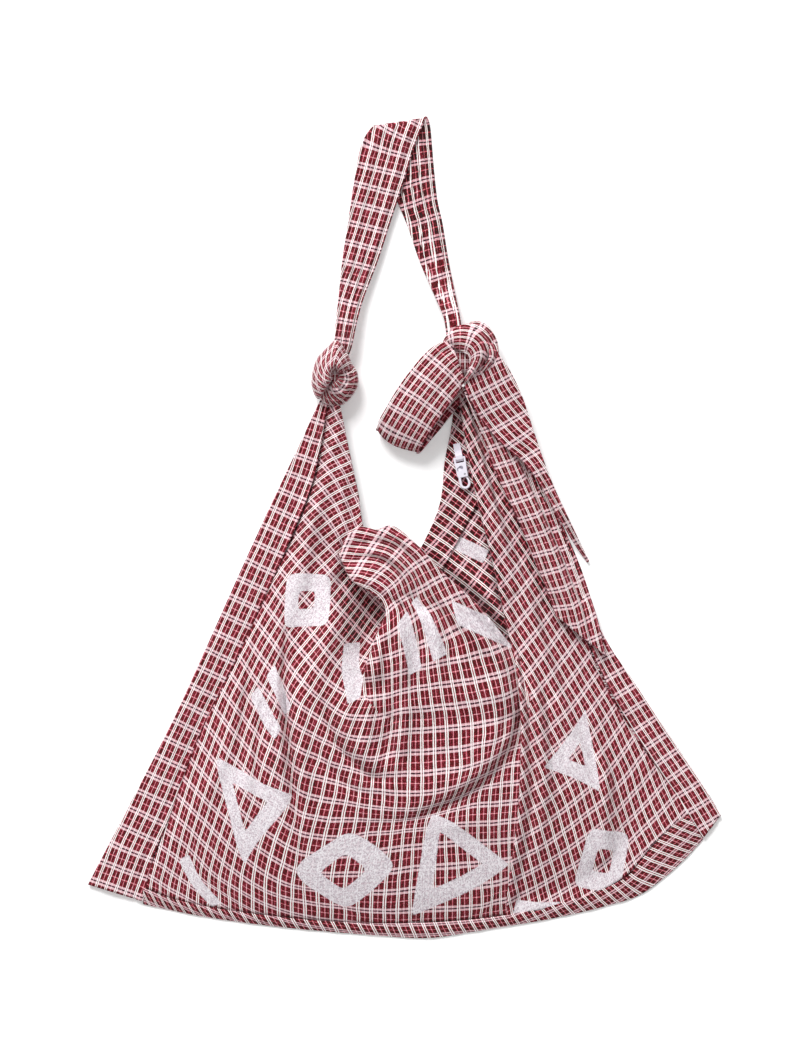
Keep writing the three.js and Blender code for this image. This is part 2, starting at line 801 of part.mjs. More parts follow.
/** The outline of the moulded hook body, from its eye down round the hook. */
function clipOutline() {
  const [hx, hy] = HOOK_CENTRE;
  const shape = new THREE.Shape();
  shape.moveTo(EYE_HALF_WIDTH, EYE_BAR);
  shape.lineTo(-EYE_HALF_WIDTH, EYE_BAR);
  shape.lineTo(-EYE_HALF_WIDTH, -EYE_BAR - EYE_SLOT_DEPTH);
  shape.quadraticCurveTo(-CLIP_WAIST, -10, -CLIP_WAIST - 0.4, CLIP_BODY_END + 3);
  shape.lineTo(hx - HOOK_OUTER, CLIP_BODY_END);
  shape.lineTo(hx - HOOK_OUTER, hy);
  shape.absarc(hx, hy, HOOK_OUTER, Math.PI, 2 * Math.PI, false);
  shape.lineTo(hx + HOOK_OUTER - 0.4, HOOK_TIP - 0.4);
  shape.lineTo(hx + HOOK_INNER, HOOK_TIP);
  shape.lineTo(hx + HOOK_INNER, hy);
  shape.absarc(hx, hy, HOOK_INNER, 2 * Math.PI, Math.PI, true);
  shape.lineTo(hx - HOOK_INNER, CLIP_BODY_END);
  shape.lineTo(CLIP_WAIST, CLIP_BODY_END);
  shape.quadraticCurveTo(CLIP_WAIST, -10, EYE_HALF_WIDTH, -EYE_BAR - EYE_SLOT_DEPTH);
  shape.closePath();
  const slot = new THREE.Path();
  slot.moveTo(-EYE_SLOT_HALF_WIDTH, -EYE_BAR);
  slot.lineTo(EYE_SLOT_HALF_WIDTH, -EYE_BAR);
  slot.lineTo(EYE_SLOT_HALF_WIDTH, -EYE_BAR - EYE_SLOT_DEPTH);
  slot.lineTo(-EYE_SLOT_HALF_WIDTH, -EYE_BAR - EYE_SLOT_DEPTH);
  slot.closePath();
  shape.holes.push(slot);
  return shape;
}

/** A straight bar with round ends between two places. */
function roundEnded(start, end, halfWidth) {
  const angle = Math.atan2(end[1] - start[1], end[0] - start[0]);
  const shape = new THREE.Shape();
  shape.absarc(end[0], end[1], halfWidth, angle - Math.PI / 2, angle + Math.PI / 2, false);
  shape.absarc(start[0], start[1], halfWidth, angle + Math.PI / 2, angle + 1.5 * Math.PI, false);
  shape.closePath();
  return shape;
}

/** The trigger: thumb pad, hub and the finger that closes the hook, grown by a margin. */
function gateSolid(margin, thickness) {
  const arm = plate(roundEnded(GATE_PAD, GATE_PIVOT, GATE_PAD_RADIUS + margin), thickness);
  const hub = roundBar(new THREE.Vector3(...GATE_PIVOT, 0), UP, GATE_HUB_RADIUS + margin, thickness, 16);
  const halfWidth = GATE_FINGER_HALF_WIDTH + margin;
  const reach = plate(roundEnded(GATE_PIVOT, GATE_FINGER, halfWidth), thickness);
  return toSolid(arm).add(toSolid(hub)).add(toSolid(reach));
}

/** A solid swept about the gate's pin from rest to fully open, in steps. */
function gateSweep() {
  const steps = 3;
  const pivot = new THREE.Vector3(...GATE_PIVOT, 0);
  const closed = fromSolid(gateSolid(GATE_ROOM, GATE_SLOT_HEIGHT));
  let swept = null;
  for (let k = 0; k <= steps; k++) {
    const turned = closed.clone().translate(-pivot.x, -pivot.y, 0);
    turned.rotateZ((-GATE_SWING * k) / steps).translate(pivot.x, pivot.y, 0);
    swept = swept ? swept.add(toSolid(turned)) : toSolid(turned);
  }
  return swept;
}

/** The window over the thumb pad, long enough for its travel. */
function padWindow() {
  const arm = new THREE.Vector2(GATE_PAD[0] - GATE_PIVOT[0], GATE_PAD[1] - GATE_PIVOT[1]);
  const pressed = arm.clone().rotateAround(new THREE.Vector2(), -GATE_SWING);
  const end = [pressed.x + GATE_PIVOT[0], pressed.y + GATE_PIVOT[1]];
  return plate(roundEnded(GATE_PAD, end, GATE_PAD_RADIUS + GATE_ROOM), 2 * CLIP_THICK);
}

const PIVOT = new THREE.Vector3(...GATE_PIVOT, 0);

/** The hook body with its gate slot, thumb window and pin bore. */
function hookBody() {
  const body = toSolid(plate(clipOutline(), CLIP_THICK, CLIP_BEVEL));
  const window = toSolid(padWindow().translate(0, 0, CLIP_THICK));
  const bore = roundBar(PIVOT, UP, PIN_RADIUS + PIN_ROOM, 2 * CLIP_THICK, 20);
  return fromSolid(body.subtract(gateSweep()).subtract(window).subtract(toSolid(bore)));
}

/** The gate with its own bore. */
function keyGate() {
  const bore = roundBar(PIVOT, UP, PIN_RADIUS + PIN_ROOM, 2 * CLIP_THICK, 20);
  return fromSolid(gateSolid(0, GATE_THICK).subtract(toSolid(bore)));
}

/** The ribbon: from the facing, round the clip's eye bar and back. */
function keyTab() {
  const loopRadius = Math.hypot(EYE_BAR, CLIP_THICK / 2) + TAB_BAR_ROOM + TAB_CLOTH / 2;
  const rootHeight = SECOND_LAYER + CLOTH + SEAT + TAB_CLOTH / 2 - CLIP_EYE[2];
  const turns = 10;
  const route = [
    [TAB_LENGTH, rootHeight],
    [TAB_LENGTH * 0.5, rootHeight + 0.2],
    [loopRadius * 0.9, -loopRadius * 0.9],
  ];
  for (let k = 1; k < turns; k++) {
    const angle = -Math.PI / 2 - (Math.PI * k) / turns;
    route.push([loopRadius * Math.cos(angle), loopRadius * Math.sin(angle)]);
  }
  route.push([loopRadius * 0.9, loopRadius * 0.9]);
  route.push([TAB_LENGTH * 0.5, rootHeight + 0.2 + 3 * TAB_CLOTH]);
  route.push([TAB_LENGTH, rootHeight + 2 * TAB_CLOTH]);
  const edge = (x) => stationsAlong(route.map(([y, z]) => [x, y, z]), 1);
  const grid = ruledGrid(edge(-TAB_WIDTH / 2), edge(TAB_WIDTH / 2), 1, () => 0);
  return sheetSolid(grid, () => TAB_CLOTH);
}

// The assembly

const PLAID = new THREE.Color("#8b2330");
const PALE_PLASTIC = new THREE.Color("#eeeaf4");
const STEEL = new THREE.Color("#b9bcc2");

const bag = new THREE.Group();

/** Adds a named mesh of a colour to a group. */
function addPiece(parent, name, geometry, color, roughness, metalness = 0) {
  geometry.computeVertexNormals();
  const material = new THREE.MeshStandardMaterial({ color, roughness, metalness });
  const mesh = new THREE.Mesh(geometry, material);
  mesh.name = name;
  parent.add(mesh);
  return mesh;
}

const plainCloth = () => CLOTH;
addPiece(bag, "back_panel", backPanel(), PLAID, 0.9);
addPiece(bag, "back_facing", backFacing(), PLAID, 0.9);
addPiece(bag, "front_panel", cutFrom(sheetSolid(front, plainCloth, true), knotClearances), PLAID, 0.9);
for (const [name, grid] of [["left_side_band", leftBandGrid], ["right_side_band", rightBandGrid]]) {
  addPiece(bag, name, cutFrom(sheetSolid(grid, plainCloth), knotClearances), PLAID, 0.9);
}
addPiece(bag, "bottom_hem", bottomHem(), PLAID, 0.9);
addPiece(bag, "left_knot", knotGeometry(LEFT_KNOT, LEFT_KNOT_FOLDS), PLAID, 0.9);
addPiece(bag, "right_knot", knotGeometry(RIGHT_KNOT, RIGHT_KNOT_FOLDS), PLAID, 0.9);
addPiece(bag, "shoulder_strap", shoulderStrap(), PLAID, 0.9);
addPiece(bag, "bow_loop", bowLoop(), PLAID, 0.9);
const wideTailCloth = sheetSolid(wideTail, () => BAND_CLOTH);
addPiece(bag, "tie_tail_wide", cutFrom(wideTailCloth, knotClearances), PLAID, 0.9);
addPiece(bag, "tie_tail_pointed", pointedTailSolid(), PLAID, 0.9);

const clip = new THREE.Group();
clip.position.set(...CLIP_EYE);
clip.rotation.z = CLIP_LEAN;
bag.add(clip);
addPiece(clip, "key_tab", keyTab(), PALE_PLASTIC, 0.8);
addPiece(clip, "key_hook", hookBody(), PALE_PLASTIC, 0.35);
addPiece(clip, "key_gate", keyGate(), PALE_PLASTIC, 0.35);
const pin = roundBar(PIVOT, UP, PIN_RADIUS, CLIP_THICK, 16);
addPiece(clip, "gate_pin", fromSolid(toSolid(pin)), STEEL, 0.3, 1);

export default bag;
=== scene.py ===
"""Looks of a tie-strap hobo bag of checked shirting cotton, laid flat on its back.

Every cloth piece is a grid of points that starts as a flat plan or as two edges of a band. It is
raised into its drape, and it carries its own cloth coordinates, so the woven check follows the
threads through every fold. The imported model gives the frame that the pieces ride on. Sizes are in
millimetres and angles in degrees unless a comment says otherwise.
"""

import logging
import math
from collections.abc import Callable
from dataclasses import dataclass, field
from enum import Enum
from functools import cached_property

import bmesh
import bpy
import numpy as np
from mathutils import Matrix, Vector, noise


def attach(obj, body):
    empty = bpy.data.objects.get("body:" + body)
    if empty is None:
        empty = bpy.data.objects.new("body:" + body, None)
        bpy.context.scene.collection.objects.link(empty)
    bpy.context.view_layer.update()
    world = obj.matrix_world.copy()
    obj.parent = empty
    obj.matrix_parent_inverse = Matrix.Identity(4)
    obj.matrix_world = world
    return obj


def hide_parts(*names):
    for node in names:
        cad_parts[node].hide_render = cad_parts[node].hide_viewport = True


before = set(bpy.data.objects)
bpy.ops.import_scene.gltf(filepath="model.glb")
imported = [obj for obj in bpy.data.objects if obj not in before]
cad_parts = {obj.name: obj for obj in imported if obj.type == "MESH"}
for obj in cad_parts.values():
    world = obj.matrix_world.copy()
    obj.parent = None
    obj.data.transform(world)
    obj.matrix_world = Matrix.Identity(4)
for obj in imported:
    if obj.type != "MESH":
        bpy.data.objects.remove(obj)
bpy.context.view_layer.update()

log = logging.getLogger("bag")
MM = 0.001

Array = np.ndarray
Place = tuple[float, float]
Place3 = tuple[float, float, float]
Tree = bpy.types.NodeTree
Socket = bpy.types.NodeSocket

# One repeat of the woven check, and the thickness of the cloth
WARP_REPEAT = 12.1
WEFT_REPEAT = 21.2
CLOTH = 0.9


# Curves, folds and fields over the plan


def smooth(points: tuple[tuple[float, ...], ...] | list, count: int) -> Array:
    """Puts evenly spaced points on a smooth curve through others.

    Args:
        points: the places that the curve runs through.
        count: how many spans to divide it into.

    Returns:
        An array of count + 1 points.
    """
    given = np.array(points, float)
    if len(given) == 2:
        t = np.linspace(0, 1, count + 1)[:, None]
        return given[0] * (1 - t) + given[1] * t
    knots = np.vstack([2 * given[0] - given[1], given, 2 * given[-1] - given[-2]])
    fine = []
    per = max(8, 4 * count // (len(given) - 1))
    s = np.linspace(0, 1, per, endpoint=False)[:, None]
    for k in range(1, len(knots) - 2):
        p0, p1, p2, p3 = knots[k - 1 : k + 3]
        t01, t12, t23 = (max(np.linalg.norm(b - a) ** 0.5, 1e-6) for a, b in ((p0, p1), (p1, p2), (p2, p3)))
        m1 = (p2 - p1) + t12 * ((p1 - p0) / t01 - (p2 - p0) / (t01 + t12))
        m2 = (p2 - p1) + t12 * ((p3 - p2) / t23 - (p3 - p1) / (t12 + t23))
        fine.append(
            (2 * s**3 - 3 * s**2 + 1) * p1
            + (s**3 - 2 * s**2 + s) * m1
            + (-2 * s**3 + 3 * s**2) * p2
            + (s**3 - s**2) * m2
        )
    return spread(np.vstack(fine + [given[-1:]]), count)


def run_along(line: Array) -> Array:
    """Measures how far along a line its points lie.

    Args:
        line: its points.

    Returns:
        The way from the first point to each.
    """
    return np.concatenate([[0], np.cumsum(np.linalg.norm(np.diff(line, axis=0), axis=1))])


def spread(curve: Array, count: int) -> Array:
    """Puts evenly spaced points on a curve.

    Args:
        curve: its points.
        count: how many spans to divide it into.

    Returns:
        An array of count + 1 points.
    """
    run = run_along(curve)
    at = np.linspace(0, run[-1], count + 1)
    return np.stack([np.interp(at, run, curve[:, c]) for c in range(curve.shape[1])], axis=1)


def stations(points: list, spans: int) -> Array:
    """Divides a curve evenly between each two of its points, so two edges stay in step.

    Args:
        points: the places that the curve runs through.
        spans: spans between two of them.

    Returns:
        An array of points.
    """
    whole = smooth(points, 40 * (len(points) - 1))
    marks = [int(np.argmin(np.linalg.norm(whole - p, axis=1))) for p in np.array(points, float)]
    marks[0], marks[-1] = 0, len(whole) - 1
    parts = [np.linspace(a, b, spans, endpoint=False) for a, b in zip(marks, marks[1:])]
    at = np.concatenate(parts + [[marks[-1]]])
    index = np.arange(len(whole))
    return np.stack([np.interp(at, index, whole[:, c]) for c in range(whole.shape[1])], axis=1)


def ease(value: Array | float) -> Array:
    """Runs smoothly from 0 to 1 while the value does.

    Args:
        value: any numbers.

    Returns:
        Numbers from 0 to 1.
    """
    held = np.clip(value, 0.0, 1.0)
    return held * held * (3 - 2 * held)


def wrinkle(x: Array, y: Array, size: float, seed: float) -> Array:
    """Soft random unevenness over the plan.

    Args:
        x: places across.
        y: places up the plan.
        size: rough size of one wrinkle.
        seed: keeps two pieces apart.

    Returns:
        Values from about -1 to 1.
    """
    flat = [noise.noise(Vector((a / size, b / size, seed))) for a, b in zip(x.ravel(), y.ravel())]
    return 2.0 * np.array(flat).reshape(x.shape)


class Fold(Enum):
    """Cross-section of one fold line."""

    RIDGE = "a rounded ridge, or a hollow where the height is below zero"
    CREASE = "a sharp valley"
    LAP = "a step whose left side lies over its right side"


@dataclass(frozen=True)
class FoldLine:
    """One fold of draped cloth, along a line on the plan.

    Attributes:
        kind: its cross-section.
        height: how far it raises the cloth; below zero it sinks it.
        width: half its width.
        line: the places that it runs through.
        ends: the share of its height left at its two ends.
    """

    kind: Fold
    height: float
    width: float
    line: tuple[Place, ...]
    ends: float = 0.2

    # A lap's step and its slow fall, in widths
    LAP_STEP = 0.22
    LAP_TAIL = 2.2
    # Cloth that a fold takes up, as a share of its height, and how far off that is felt
    TAKEN_UP = {Fold.RIDGE: 0.5, Fold.CREASE: 1.1, Fold.LAP: 0.9}
    PULL_START = 1.3
    PULL_REACH = 40

    def _nearest(self, x: Array, y: Array) -> tuple[Array, Array, Array, Array]:
        """Finds the nearest place on the line.

        Args:
            x: places across.
            y: places up the plan.

        Returns:
            The way from that place, across and up the plan; the side (1 on the left); and the share
            of the height left there.
        """
        points = smooth(self.line, 8 * len(self.line))
        best = np.full(x.shape, np.inf)
        off_x, off_y, side, share = (np.zeros(x.shape) for _ in range(4))
        spans = len(points) - 1
        for k in range(spans):
            ax, ay = points[k]
            dx, dy = points[k + 1] - points[k]
            t = np.clip(((x - ax) * dx + (y - ay) * dy) / (dx * dx + dy * dy), 0.0, 1.0)
            far_x, far_y = x - ax - t * dx, y - ay - t * dy
            off = np.hypot(far_x, far_y)
            nearer = off < best
            best = np.where(nearer, off, best)
            off_x = np.where(nearer, far_x, off_x)
            off_y = np.where(nearer, far_y, off_y)
            side = np.where(nearer, np.sign(dx * (y - ay) - dy * (x - ax)), side)
            share = np.where(nearer, (k + t) / spans, share)
        return off_x, off_y, side, self.ends + (1 - self.ends) * np.sin(np.pi * share)

    def raise_at(self, x: Array, y: Array) -> Array:
        """Gives the height that this fold adds.

        Args:
            x: places across.
            y: places up the plan.

        Returns:
            The added height at each place.
        """
        off_x, off_y, side, taper = self._nearest(x, y)
        best = np.hypot(off_x, off_y)
        if self.kind is Fold.RIDGE:
            shape = np.exp(-((best / self.width) ** 2))
        elif self.kind is Fold.CREASE:
            shape = np.exp(-best / self.width)
        else:
            step = 0.5 + 0.5 * np.tanh(side * best / (self.LAP_STEP * self.width))
            shape = step * np.exp(-best / (self.LAP_TAIL * self.width))
        return self.height * taper * shape

    def pull_at(self, x: Array, y: Array) -> Array:
        """Gives how far the cloth would move off this fold if the fold were pulled out.

        Args:
            x: places across.
            y: places up the plan.

        Returns:
            The way that each place would move on the plan.
        """
        off_x, off_y, _, taper = self._nearest(x, y)
        best = np.hypot(off_x, off_y)
        tucked = self.TAKEN_UP[self.kind] * abs(self.height) * taper
        reach = 1 - np.exp(-best / (self.PULL_START * self.width))
        reach = 0.5 * tucked * reach * np.exp(-best / self.PULL_REACH) / np.maximum(best, 0.05)
        return np.stack([off_x * reach, off_y * reach], -1)


def ridge(height: float, width: float, *line: Place, ends: float = 0.2) -> FoldLine:
    """Writes a rounded fold.

    Args:
        height: how far it rises; below zero it is a hollow.
        width: half its width.
        *line: the places that it runs through.
        ends: the share of its height left at its two ends.

    Returns:
        The fold.
    """
    return FoldLine(Fold.RIDGE, height, width, line, ends)


def crease(height: float, width: float, *line: Place, ends: float = 0.2) -> FoldLine:
    """Writes a sharp valley.

    Args:
        height: its height, below zero.
        width: half its width.
        *line: the places that it runs through.
        ends: the share of its height left at its two ends.

    Returns:
        The fold.
    """
    return FoldLine(Fold.CREASE, height, width, line, ends)


def lap(height: float, width: float, *line: Place, ends: float = 0.2) -> FoldLine:
    """Writes a step that falls slowly on its far side.

    Args:
        height: how far it rises.
        width: half its width.
        *line: the places that it runs through.
        ends: the share of its height left at its two ends.

    Returns:
        The fold.
    """
    return FoldLine(Fold.LAP, height, width, line, ends)


def pulled_out(plan: Array, folds: list[FoldLine]) -> Array:
    """Finds where the places of a folded cloth would lie with its folds pulled out.

    Args:
        plan: places on the plan.
        folds: the cloth's folds.

    Returns:
        The places on the plan of the flat cloth.
    """
    return plan + sum(fold.pull_at(plan[..., 0], plan[..., 1]) for fold in folds)


def sample(values: Array, x: Array, y: Array, start: Place, cell: float) -> Array:
    """Reads a raster between its points.

    Args:
        values: the raster, by column and row.
        x: places across.
        y: places up.
        start: the raster's lower left corner.
        cell: the distance between its points.

    Returns:
        The value at each place.
    """
    fx = np.clip((x - start[0]) / cell, 0, values.shape[0] - 1.001)
    fy = np.clip((y - start[1]) / cell, 0, values.shape[1] - 1.001)
    i, j = fx.astype(int), fy.astype(int)
    u, v = fx - i, fy - j
    low = values[i, j] * (1 - u) + values[i + 1, j] * u
    high = values[i, j + 1] * (1 - u) + values[i + 1, j + 1] * u
    return low * (1 - v) + high * v


@dataclass(frozen=True)
class Thread:
    """Which way the threads of a cloth run at one place.

    Attributes:
        x: place across.
        y: place up the plan.
        warp: direction of the close white-lined threads, from +X.
        weft: direction of the wide pink-lined threads, from +X.
        warp_seen: size of a warp repeat as seen.
        weft_seen: size of a weft repeat as seen.
    """

    x: float
    y: float
    warp: float
    weft: float
    warp_seen: float = WARP_REPEAT
    weft_seen: float = WEFT_REPEAT


def thread_table(*rows: tuple[float, float, float, float, float, float]) -> list[Thread]:
    """Writes thread directions as a table.

    Args:
        *rows: the fields of each.

    Returns:
        The thread directions.
    """
    return [Thread(*row) for row in rows]


class ThreadMap:
    """Cloth coordinates over a part of the plan, found from thread directions at a few places.

    The two coordinates are the smoothest ones whose slopes fit the directions and repeats.
    """

    CELL = 4.0
    SPREAD = 9.0
    MARGIN = 60.0
    TURNS = 60

    def __init__(self, threads: list[Thread], firm_at: Callable[[Array, Array], Array] | None = None) -> None:
        """Solves both cloth coordinates.

        Args:
            threads: thread directions at a few places.
            firm_at: how firmly the directions hold at places on the plan; without it, evenly.
        """
        places = np.array([(t.x, t.y) for t in threads])
        self.start = places.min(0) - self.MARGIN
        columns, rows = ((places.max(0) + self.MARGIN - self.start) / self.CELL).astype(int) + 2
        lines = [first + self.CELL * np.arange(n) for first, n in zip(self.start, (columns, rows))]
        gx, gy = np.meshgrid(*lines, indexing="ij")
        weight_sum = np.zeros(gx.shape)
        slopes = np.zeros((4,) + gx.shape)
        for t in threads:
            near = (gx - t.x) ** 2 + (gy - t.y) ** 2 + self.SPREAD**2
            weight = near**-2.0
            warp, weft = math.radians(t.warp), math.radians(t.weft)
            across, along = WARP_REPEAT / t.warp_seen, WEFT_REPEAT / t.weft_seen
            weight_sum += weight
            slopes[0] += weight * math.sin(warp) * across
            slopes[1] -= weight * math.cos(warp) * across
            slopes[2] -= weight * math.sin(weft) * along
            slopes[3] += weight * math.cos(weft) * along
        slopes /= weight_sum
        firm = firm_at(gx, gy) if firm_at else np.ones(gx.shape)
        self.firm_x = np.minimum(firm[1:], firm[:-1])
        self.firm_y = np.minimum(firm[:, 1:], firm[:, :-1])
        self.s = self._solve(slopes[0], slopes[1])
        self.t = self._solve(slopes[2], slopes[3])

    def _solve(self, sx: Array, sy: Array) -> Array:
        """Finds the field whose slopes come nearest to the given ones.

        Args:
            sx: wanted slope across.
            sy: wanted slope up the plan.

        Returns:
            The field on the map's cells.
        """
        flow_x = self.CELL * (sx[1:] + sx[:-1]) / 2
        flow_y = self.CELL * (sy[:, 1:] + sy[:, :-1]) / 2
        left = self._gathered(self.firm_x * flow_x, self.firm_y * flow_y)
        found = np.zeros(sx.shape)
        guess = self._even(left)
        way = guess
        size = float((left * guess).sum())
        for _ in range(self.TURNS):
            pushed = self._gathered(self.firm_x * np.diff(way, axis=0), self.firm_y * np.diff(way, axis=1))
            step = size / float((way * pushed).sum())
            found = found + step * way
            left = left - step * pushed
            guess = self._even(left)
            after = float((left * guess).sum())
            if after < 1e-6:
                break
            way = guess + after / size * way
            size = after
        return found

    @staticmethod
    def _gathered(flow_x: Array, flow_y: Array) -> Array:
        """Sums what flows into each cell.

        Args:
            flow_x: flow between columns.
            flow_y: flow between rows.

        Returns:
            The sum on each cell.
        """
        total = np.zeros((flow_y.shape[0], flow_x.shape[1]))
        total[:-1] -= flow_x
        total[1:] += flow_x
        total[:, :-1] -= flow_y
        total[:, 1:] += flow_y
        return total

    @staticmethod
    def _even(source: Array) -> Array:
        """Solves the same problem for cloth that is equally firm everywhere.

        Args:
            source: what flows into each cell.

        Returns:
            The field on the map's cells.
        """
        mirrored = np.block([[source, source[:, ::-1]], [source[::-1], source[::-1, ::-1]]])
        n, m = mirrored.shape
        size = (2 - 2 * np.cos(2 * np.pi * np.arange(n) / n))[:, None]
        size = size + (2 - 2 * np.cos(2 * np.pi * np.arange(m) / m))[None, :]
        size[0, 0] = 1.0
        spectrum = np.fft.fft2(mirrored) / size
        spectrum[0, 0] = 0.0
        return np.real(np.fft.ifft2(spectrum))[: source.shape[0], : source.shape[1]]

    def at(self, x: Array, y: Array) -> Array:
        """Reads the cloth coordinates.

        Args:
            x: places across.
            y: places up the plan.

        Returns:
            The two coordinates at each place, in the last axis.
        """
        return np.stack([sample(f, x, y, self.start, self.CELL) for f in (self.s, self.t)], -1)

    def unfolded(self, plan: Array, folds: list[FoldLine]) -> Array:
        """Reads the cloth coordinates with what folds take up.

        Args:
            plan: places on the plan.
            folds: the folds.

        Returns:
            The two coordinates at each place, in the last axis.
        """
        flat = pulled_out(plan, folds)
        return self.at(flat[..., 0], flat[..., 1])

    def matched(self, other: "ThreadMap", x: float, y: float) -> "ThreadMap":
        """Shifts this map so that it agrees with another one at a place.

        Args:
            other: the map to agree with.
            x: place across.
            y: place up the plan.

        Returns:
            This map.
        """
        place = (np.array([x]), np.array([y]))
        shift = other.at(*place)[0] - self.at(*place)[0]
        self.s = self.s + shift[0]
        self.t = self.t + shift[1]
        return self


class HeightField:
    """The height of one draped layer over the plan, for the layers that lie on it."""

    CELL = 3.0
    MARGIN = 30
    GROWTH = 60

    def __init__(self, xyz: Array) -> None:
        """Spreads a layer's points over a raster.

        Args:
            xyz: the layer's points.
        """
        points = xyz.reshape(-1, 3)
        plan = points[:, :2]
        self.start = plan.min(0) - self.MARGIN
        shape = ((plan.max(0) + self.MARGIN - self.start) / self.CELL).astype(int) + 2
        i, j = ((plan - self.start) / self.CELL + 0.5).astype(int).T
        total, count = np.zeros(shape), np.zeros(shape)
        np.add.at(total, (i, j), points[:, 2])
        np.add.at(count, (i, j), 1)
        known = count > 0
        height = np.where(known, total / np.maximum(count, 1), 0.0)
        for _ in range(self.GROWTH):
            if known.all():
                break
            sums, hits = np.zeros(shape), np.zeros(shape)
            for way in ((1, 0), (-1, 0), (0, 1), (0, -1)):
                sums += np.roll(np.where(known, height, 0.0), way, (0, 1))
                hits += np.roll(known.astype(float), way, (0, 1))
            fresh = ~known & (hits > 0)
            height = np.where(fresh, sums / np.maximum(hits, 1), height)
            known = known | fresh
        self.height = height

    def at(self, x: Array, y: Array) -> Array:
        """Reads the layer's height.

        Args:
            x: places across.
            y: places up the plan.

        Returns:
            The height at each place.
        """
        return sample(self.height, x, y, self.start, self.CELL)


# Colours and finishes


def srgb(code: str, tone: float = 1.0) -> tuple[float, float, float, float]:
    """Turns a written colour into the values that a shader takes.

    Args:
        code: six hex digits.
        tone: multiplies the colour in linear light.

    Returns:
        Red, green, blue and alpha.
    """
    parts = [int(code[k : k + 2], 16) / 255 for k in (0, 2, 4)]
    linear = [c / 12.92 if c <= 0.04045 else ((c + 0.055) / 1.055) ** 2.4 for c in parts]
    return (linear[0] * tone, linear[1] * tone, linear[2] * tone, 1.0)


def node(tree: Tree, kind: str, settings: dict | None = None, **links) -> bpy.types.Node:
    """Adds one node with its settings, its socket values and its links.

    Args:
        tree: the material's tree.
        kind: the node's type, without ShaderNode.
        settings: attributes of the node itself.
        **links: input name, or in_ and an input's number, to a value or an output socket.

    Returns:
        The new node.
    """
    made = tree.nodes.new("ShaderNode" + kind)
    for name, value in (settings or {}).items():
        setattr(made, name, value)
    for name, value in links.items():
        socket = made.inputs[int(name[3:]) if name.startswith("in_") else name.replace("_", " ")]
        if isinstance(value, bpy.types.NodeSocket):
            tree.links.new(value, socket)
        else:
            socket.default_value = value
    return made


def maths(tree: Tree, operation: str, *values: Socket | float, kind: str = "Math") -> Socket:
    """Adds one sum.

    Args:
        tree: the material's tree.
        operation: what it does.
        *values: what it takes, in order.
        kind: Math for numbers, VectorMath for vectors.

    Returns:
        Its result.
    """
    inputs = {f"in_{k}": value for k, value in enumerate(values)}
    return node(tree, kind, {"operation": operation}, **inputs).outputs[0]


def noise_2d(tree: Tree, uv: Socket, close: Place, detail: float) -> bpy.types.Node:
    """Adds flat noise over the cloth.

    Args:
        tree: the material's tree.
        uv: the cloth coordinates.
        close: how many grains to a metre, across and along.
        detail: how many finer layers it has.

    Returns:
        The noise's node.
    """
    place = maths(tree, "MULTIPLY", uv, (*close, 1.0), kind="VectorMath")
    return node(tree, "TexNoise", {"noise_dimensions": "2D"}, Vector=place, Scale=1.0, Detail=detail)


def mapped(tree: Tree, value: Socket, given: Place, taken: Place) -> Socket:
    """Maps one range to another.

    Args:
        tree: the material's tree.
        value: what is mapped.
        given: the range that it has.
        taken: the range that it gets.

    Returns:
        The mapped value.
    """
    ends = {"From_Min": given[0], "From_Max": given[1], "To_Min": taken[0], "To_Max": taken[1]}
    return node(tree, "MapRange", None, Value=value, **ends).outputs[0]


def blended(tree: Tree, share: Socket, under: Socket, over: Socket) -> Socket:
    """Lays one colour over another.

    Args:
        tree: the material's tree.
        share: how much of the upper one shows.
        under: the lower colour.
        over: the upper colour.

    Returns:
        The colour.
    """
    return node(tree, "Mix", {"data_type": "RGBA"}, Factor=share, in_6=under, in_7=over).outputs[2]


def sett_ramp(tree: Tree, place: Socket, stripes: list[tuple[str, float]]) -> Socket:
    """Colours a repeat of the check by hard-edged stripes.

    Args:
        tree: the material's tree.
        place: place in the repeat, from 0 to 1.
        stripes: colour code and width of each stripe, in order.

    Returns:
        The colour socket.
    """
    ramp = node(tree, "ValToRGB", None, Fac=place)
    ramp.color_ramp.interpolation = "CONSTANT"
    elements = ramp.color_ramp.elements
    elements.remove(elements[-1])
    start = 0.0
    total = sum(width for _, width in stripes)
    for k, (code, width) in enumerate(stripes):
        element = elements[0] if k == 0 else elements.new(start / total)
        element.position = start / total
        element.color = srgb(code)
        start += width
    return ramp.outputs["Color"]


def speckled(tree: Tree, place: Socket, stops: tuple[tuple[float, tuple], ...]) -> Socket:
    """Colours a noise between two colours.

    Args:
        tree: the material's tree.
        place: the noise.
        stops: where in the noise each colour starts, and the colour.

    Returns:
        The colour.
    """
    ramp = node(tree, "ValToRGB", None, Fac=place)
    for element, (at, colour) in zip(ramp.color_ramp.elements, stops):
        element.position, element.color = at, colour
    return ramp.outputs[0]


def new_material(name: str) -> tuple[bpy.types.Material, Tree]:
    """Starts a material.

    Args:
        name: its name.

    Returns:
        The material and its empty tree.
    """
    material = bpy.data.materials.new(name)
    material.use_nodes = True
    material.node_tree.nodes.clear()
    return material, material.node_tree


class Yarn(Enum):
    """Kinds of yarn in the check, in the warp and in the weft alike."""

    WHITE = 0
    DARK = 1
    MAROON = 2
    FINE = 3


def sett(white: float, dark: float, maroon: float, fine: float) -> list[tuple[Yarn, float]]:
    """Orders one repeat: a dark line between white ones, then maroon with a fine line in its middle.

    Args:
        white: width of each white stripe.
        dark: width of the dark one.
        maroon: width of each maroon one.
        fine: width of the fine one.

    Returns:
        Each stripe's yarn and width.
    """
    kinds = (Yarn.WHITE, Yarn.DARK, Yarn.WHITE, Yarn.MAROON, Yarn.FINE, Yarn.MAROON)
    return list(zip(kinds, (white, dark, white, maroon, fine, maroon)))


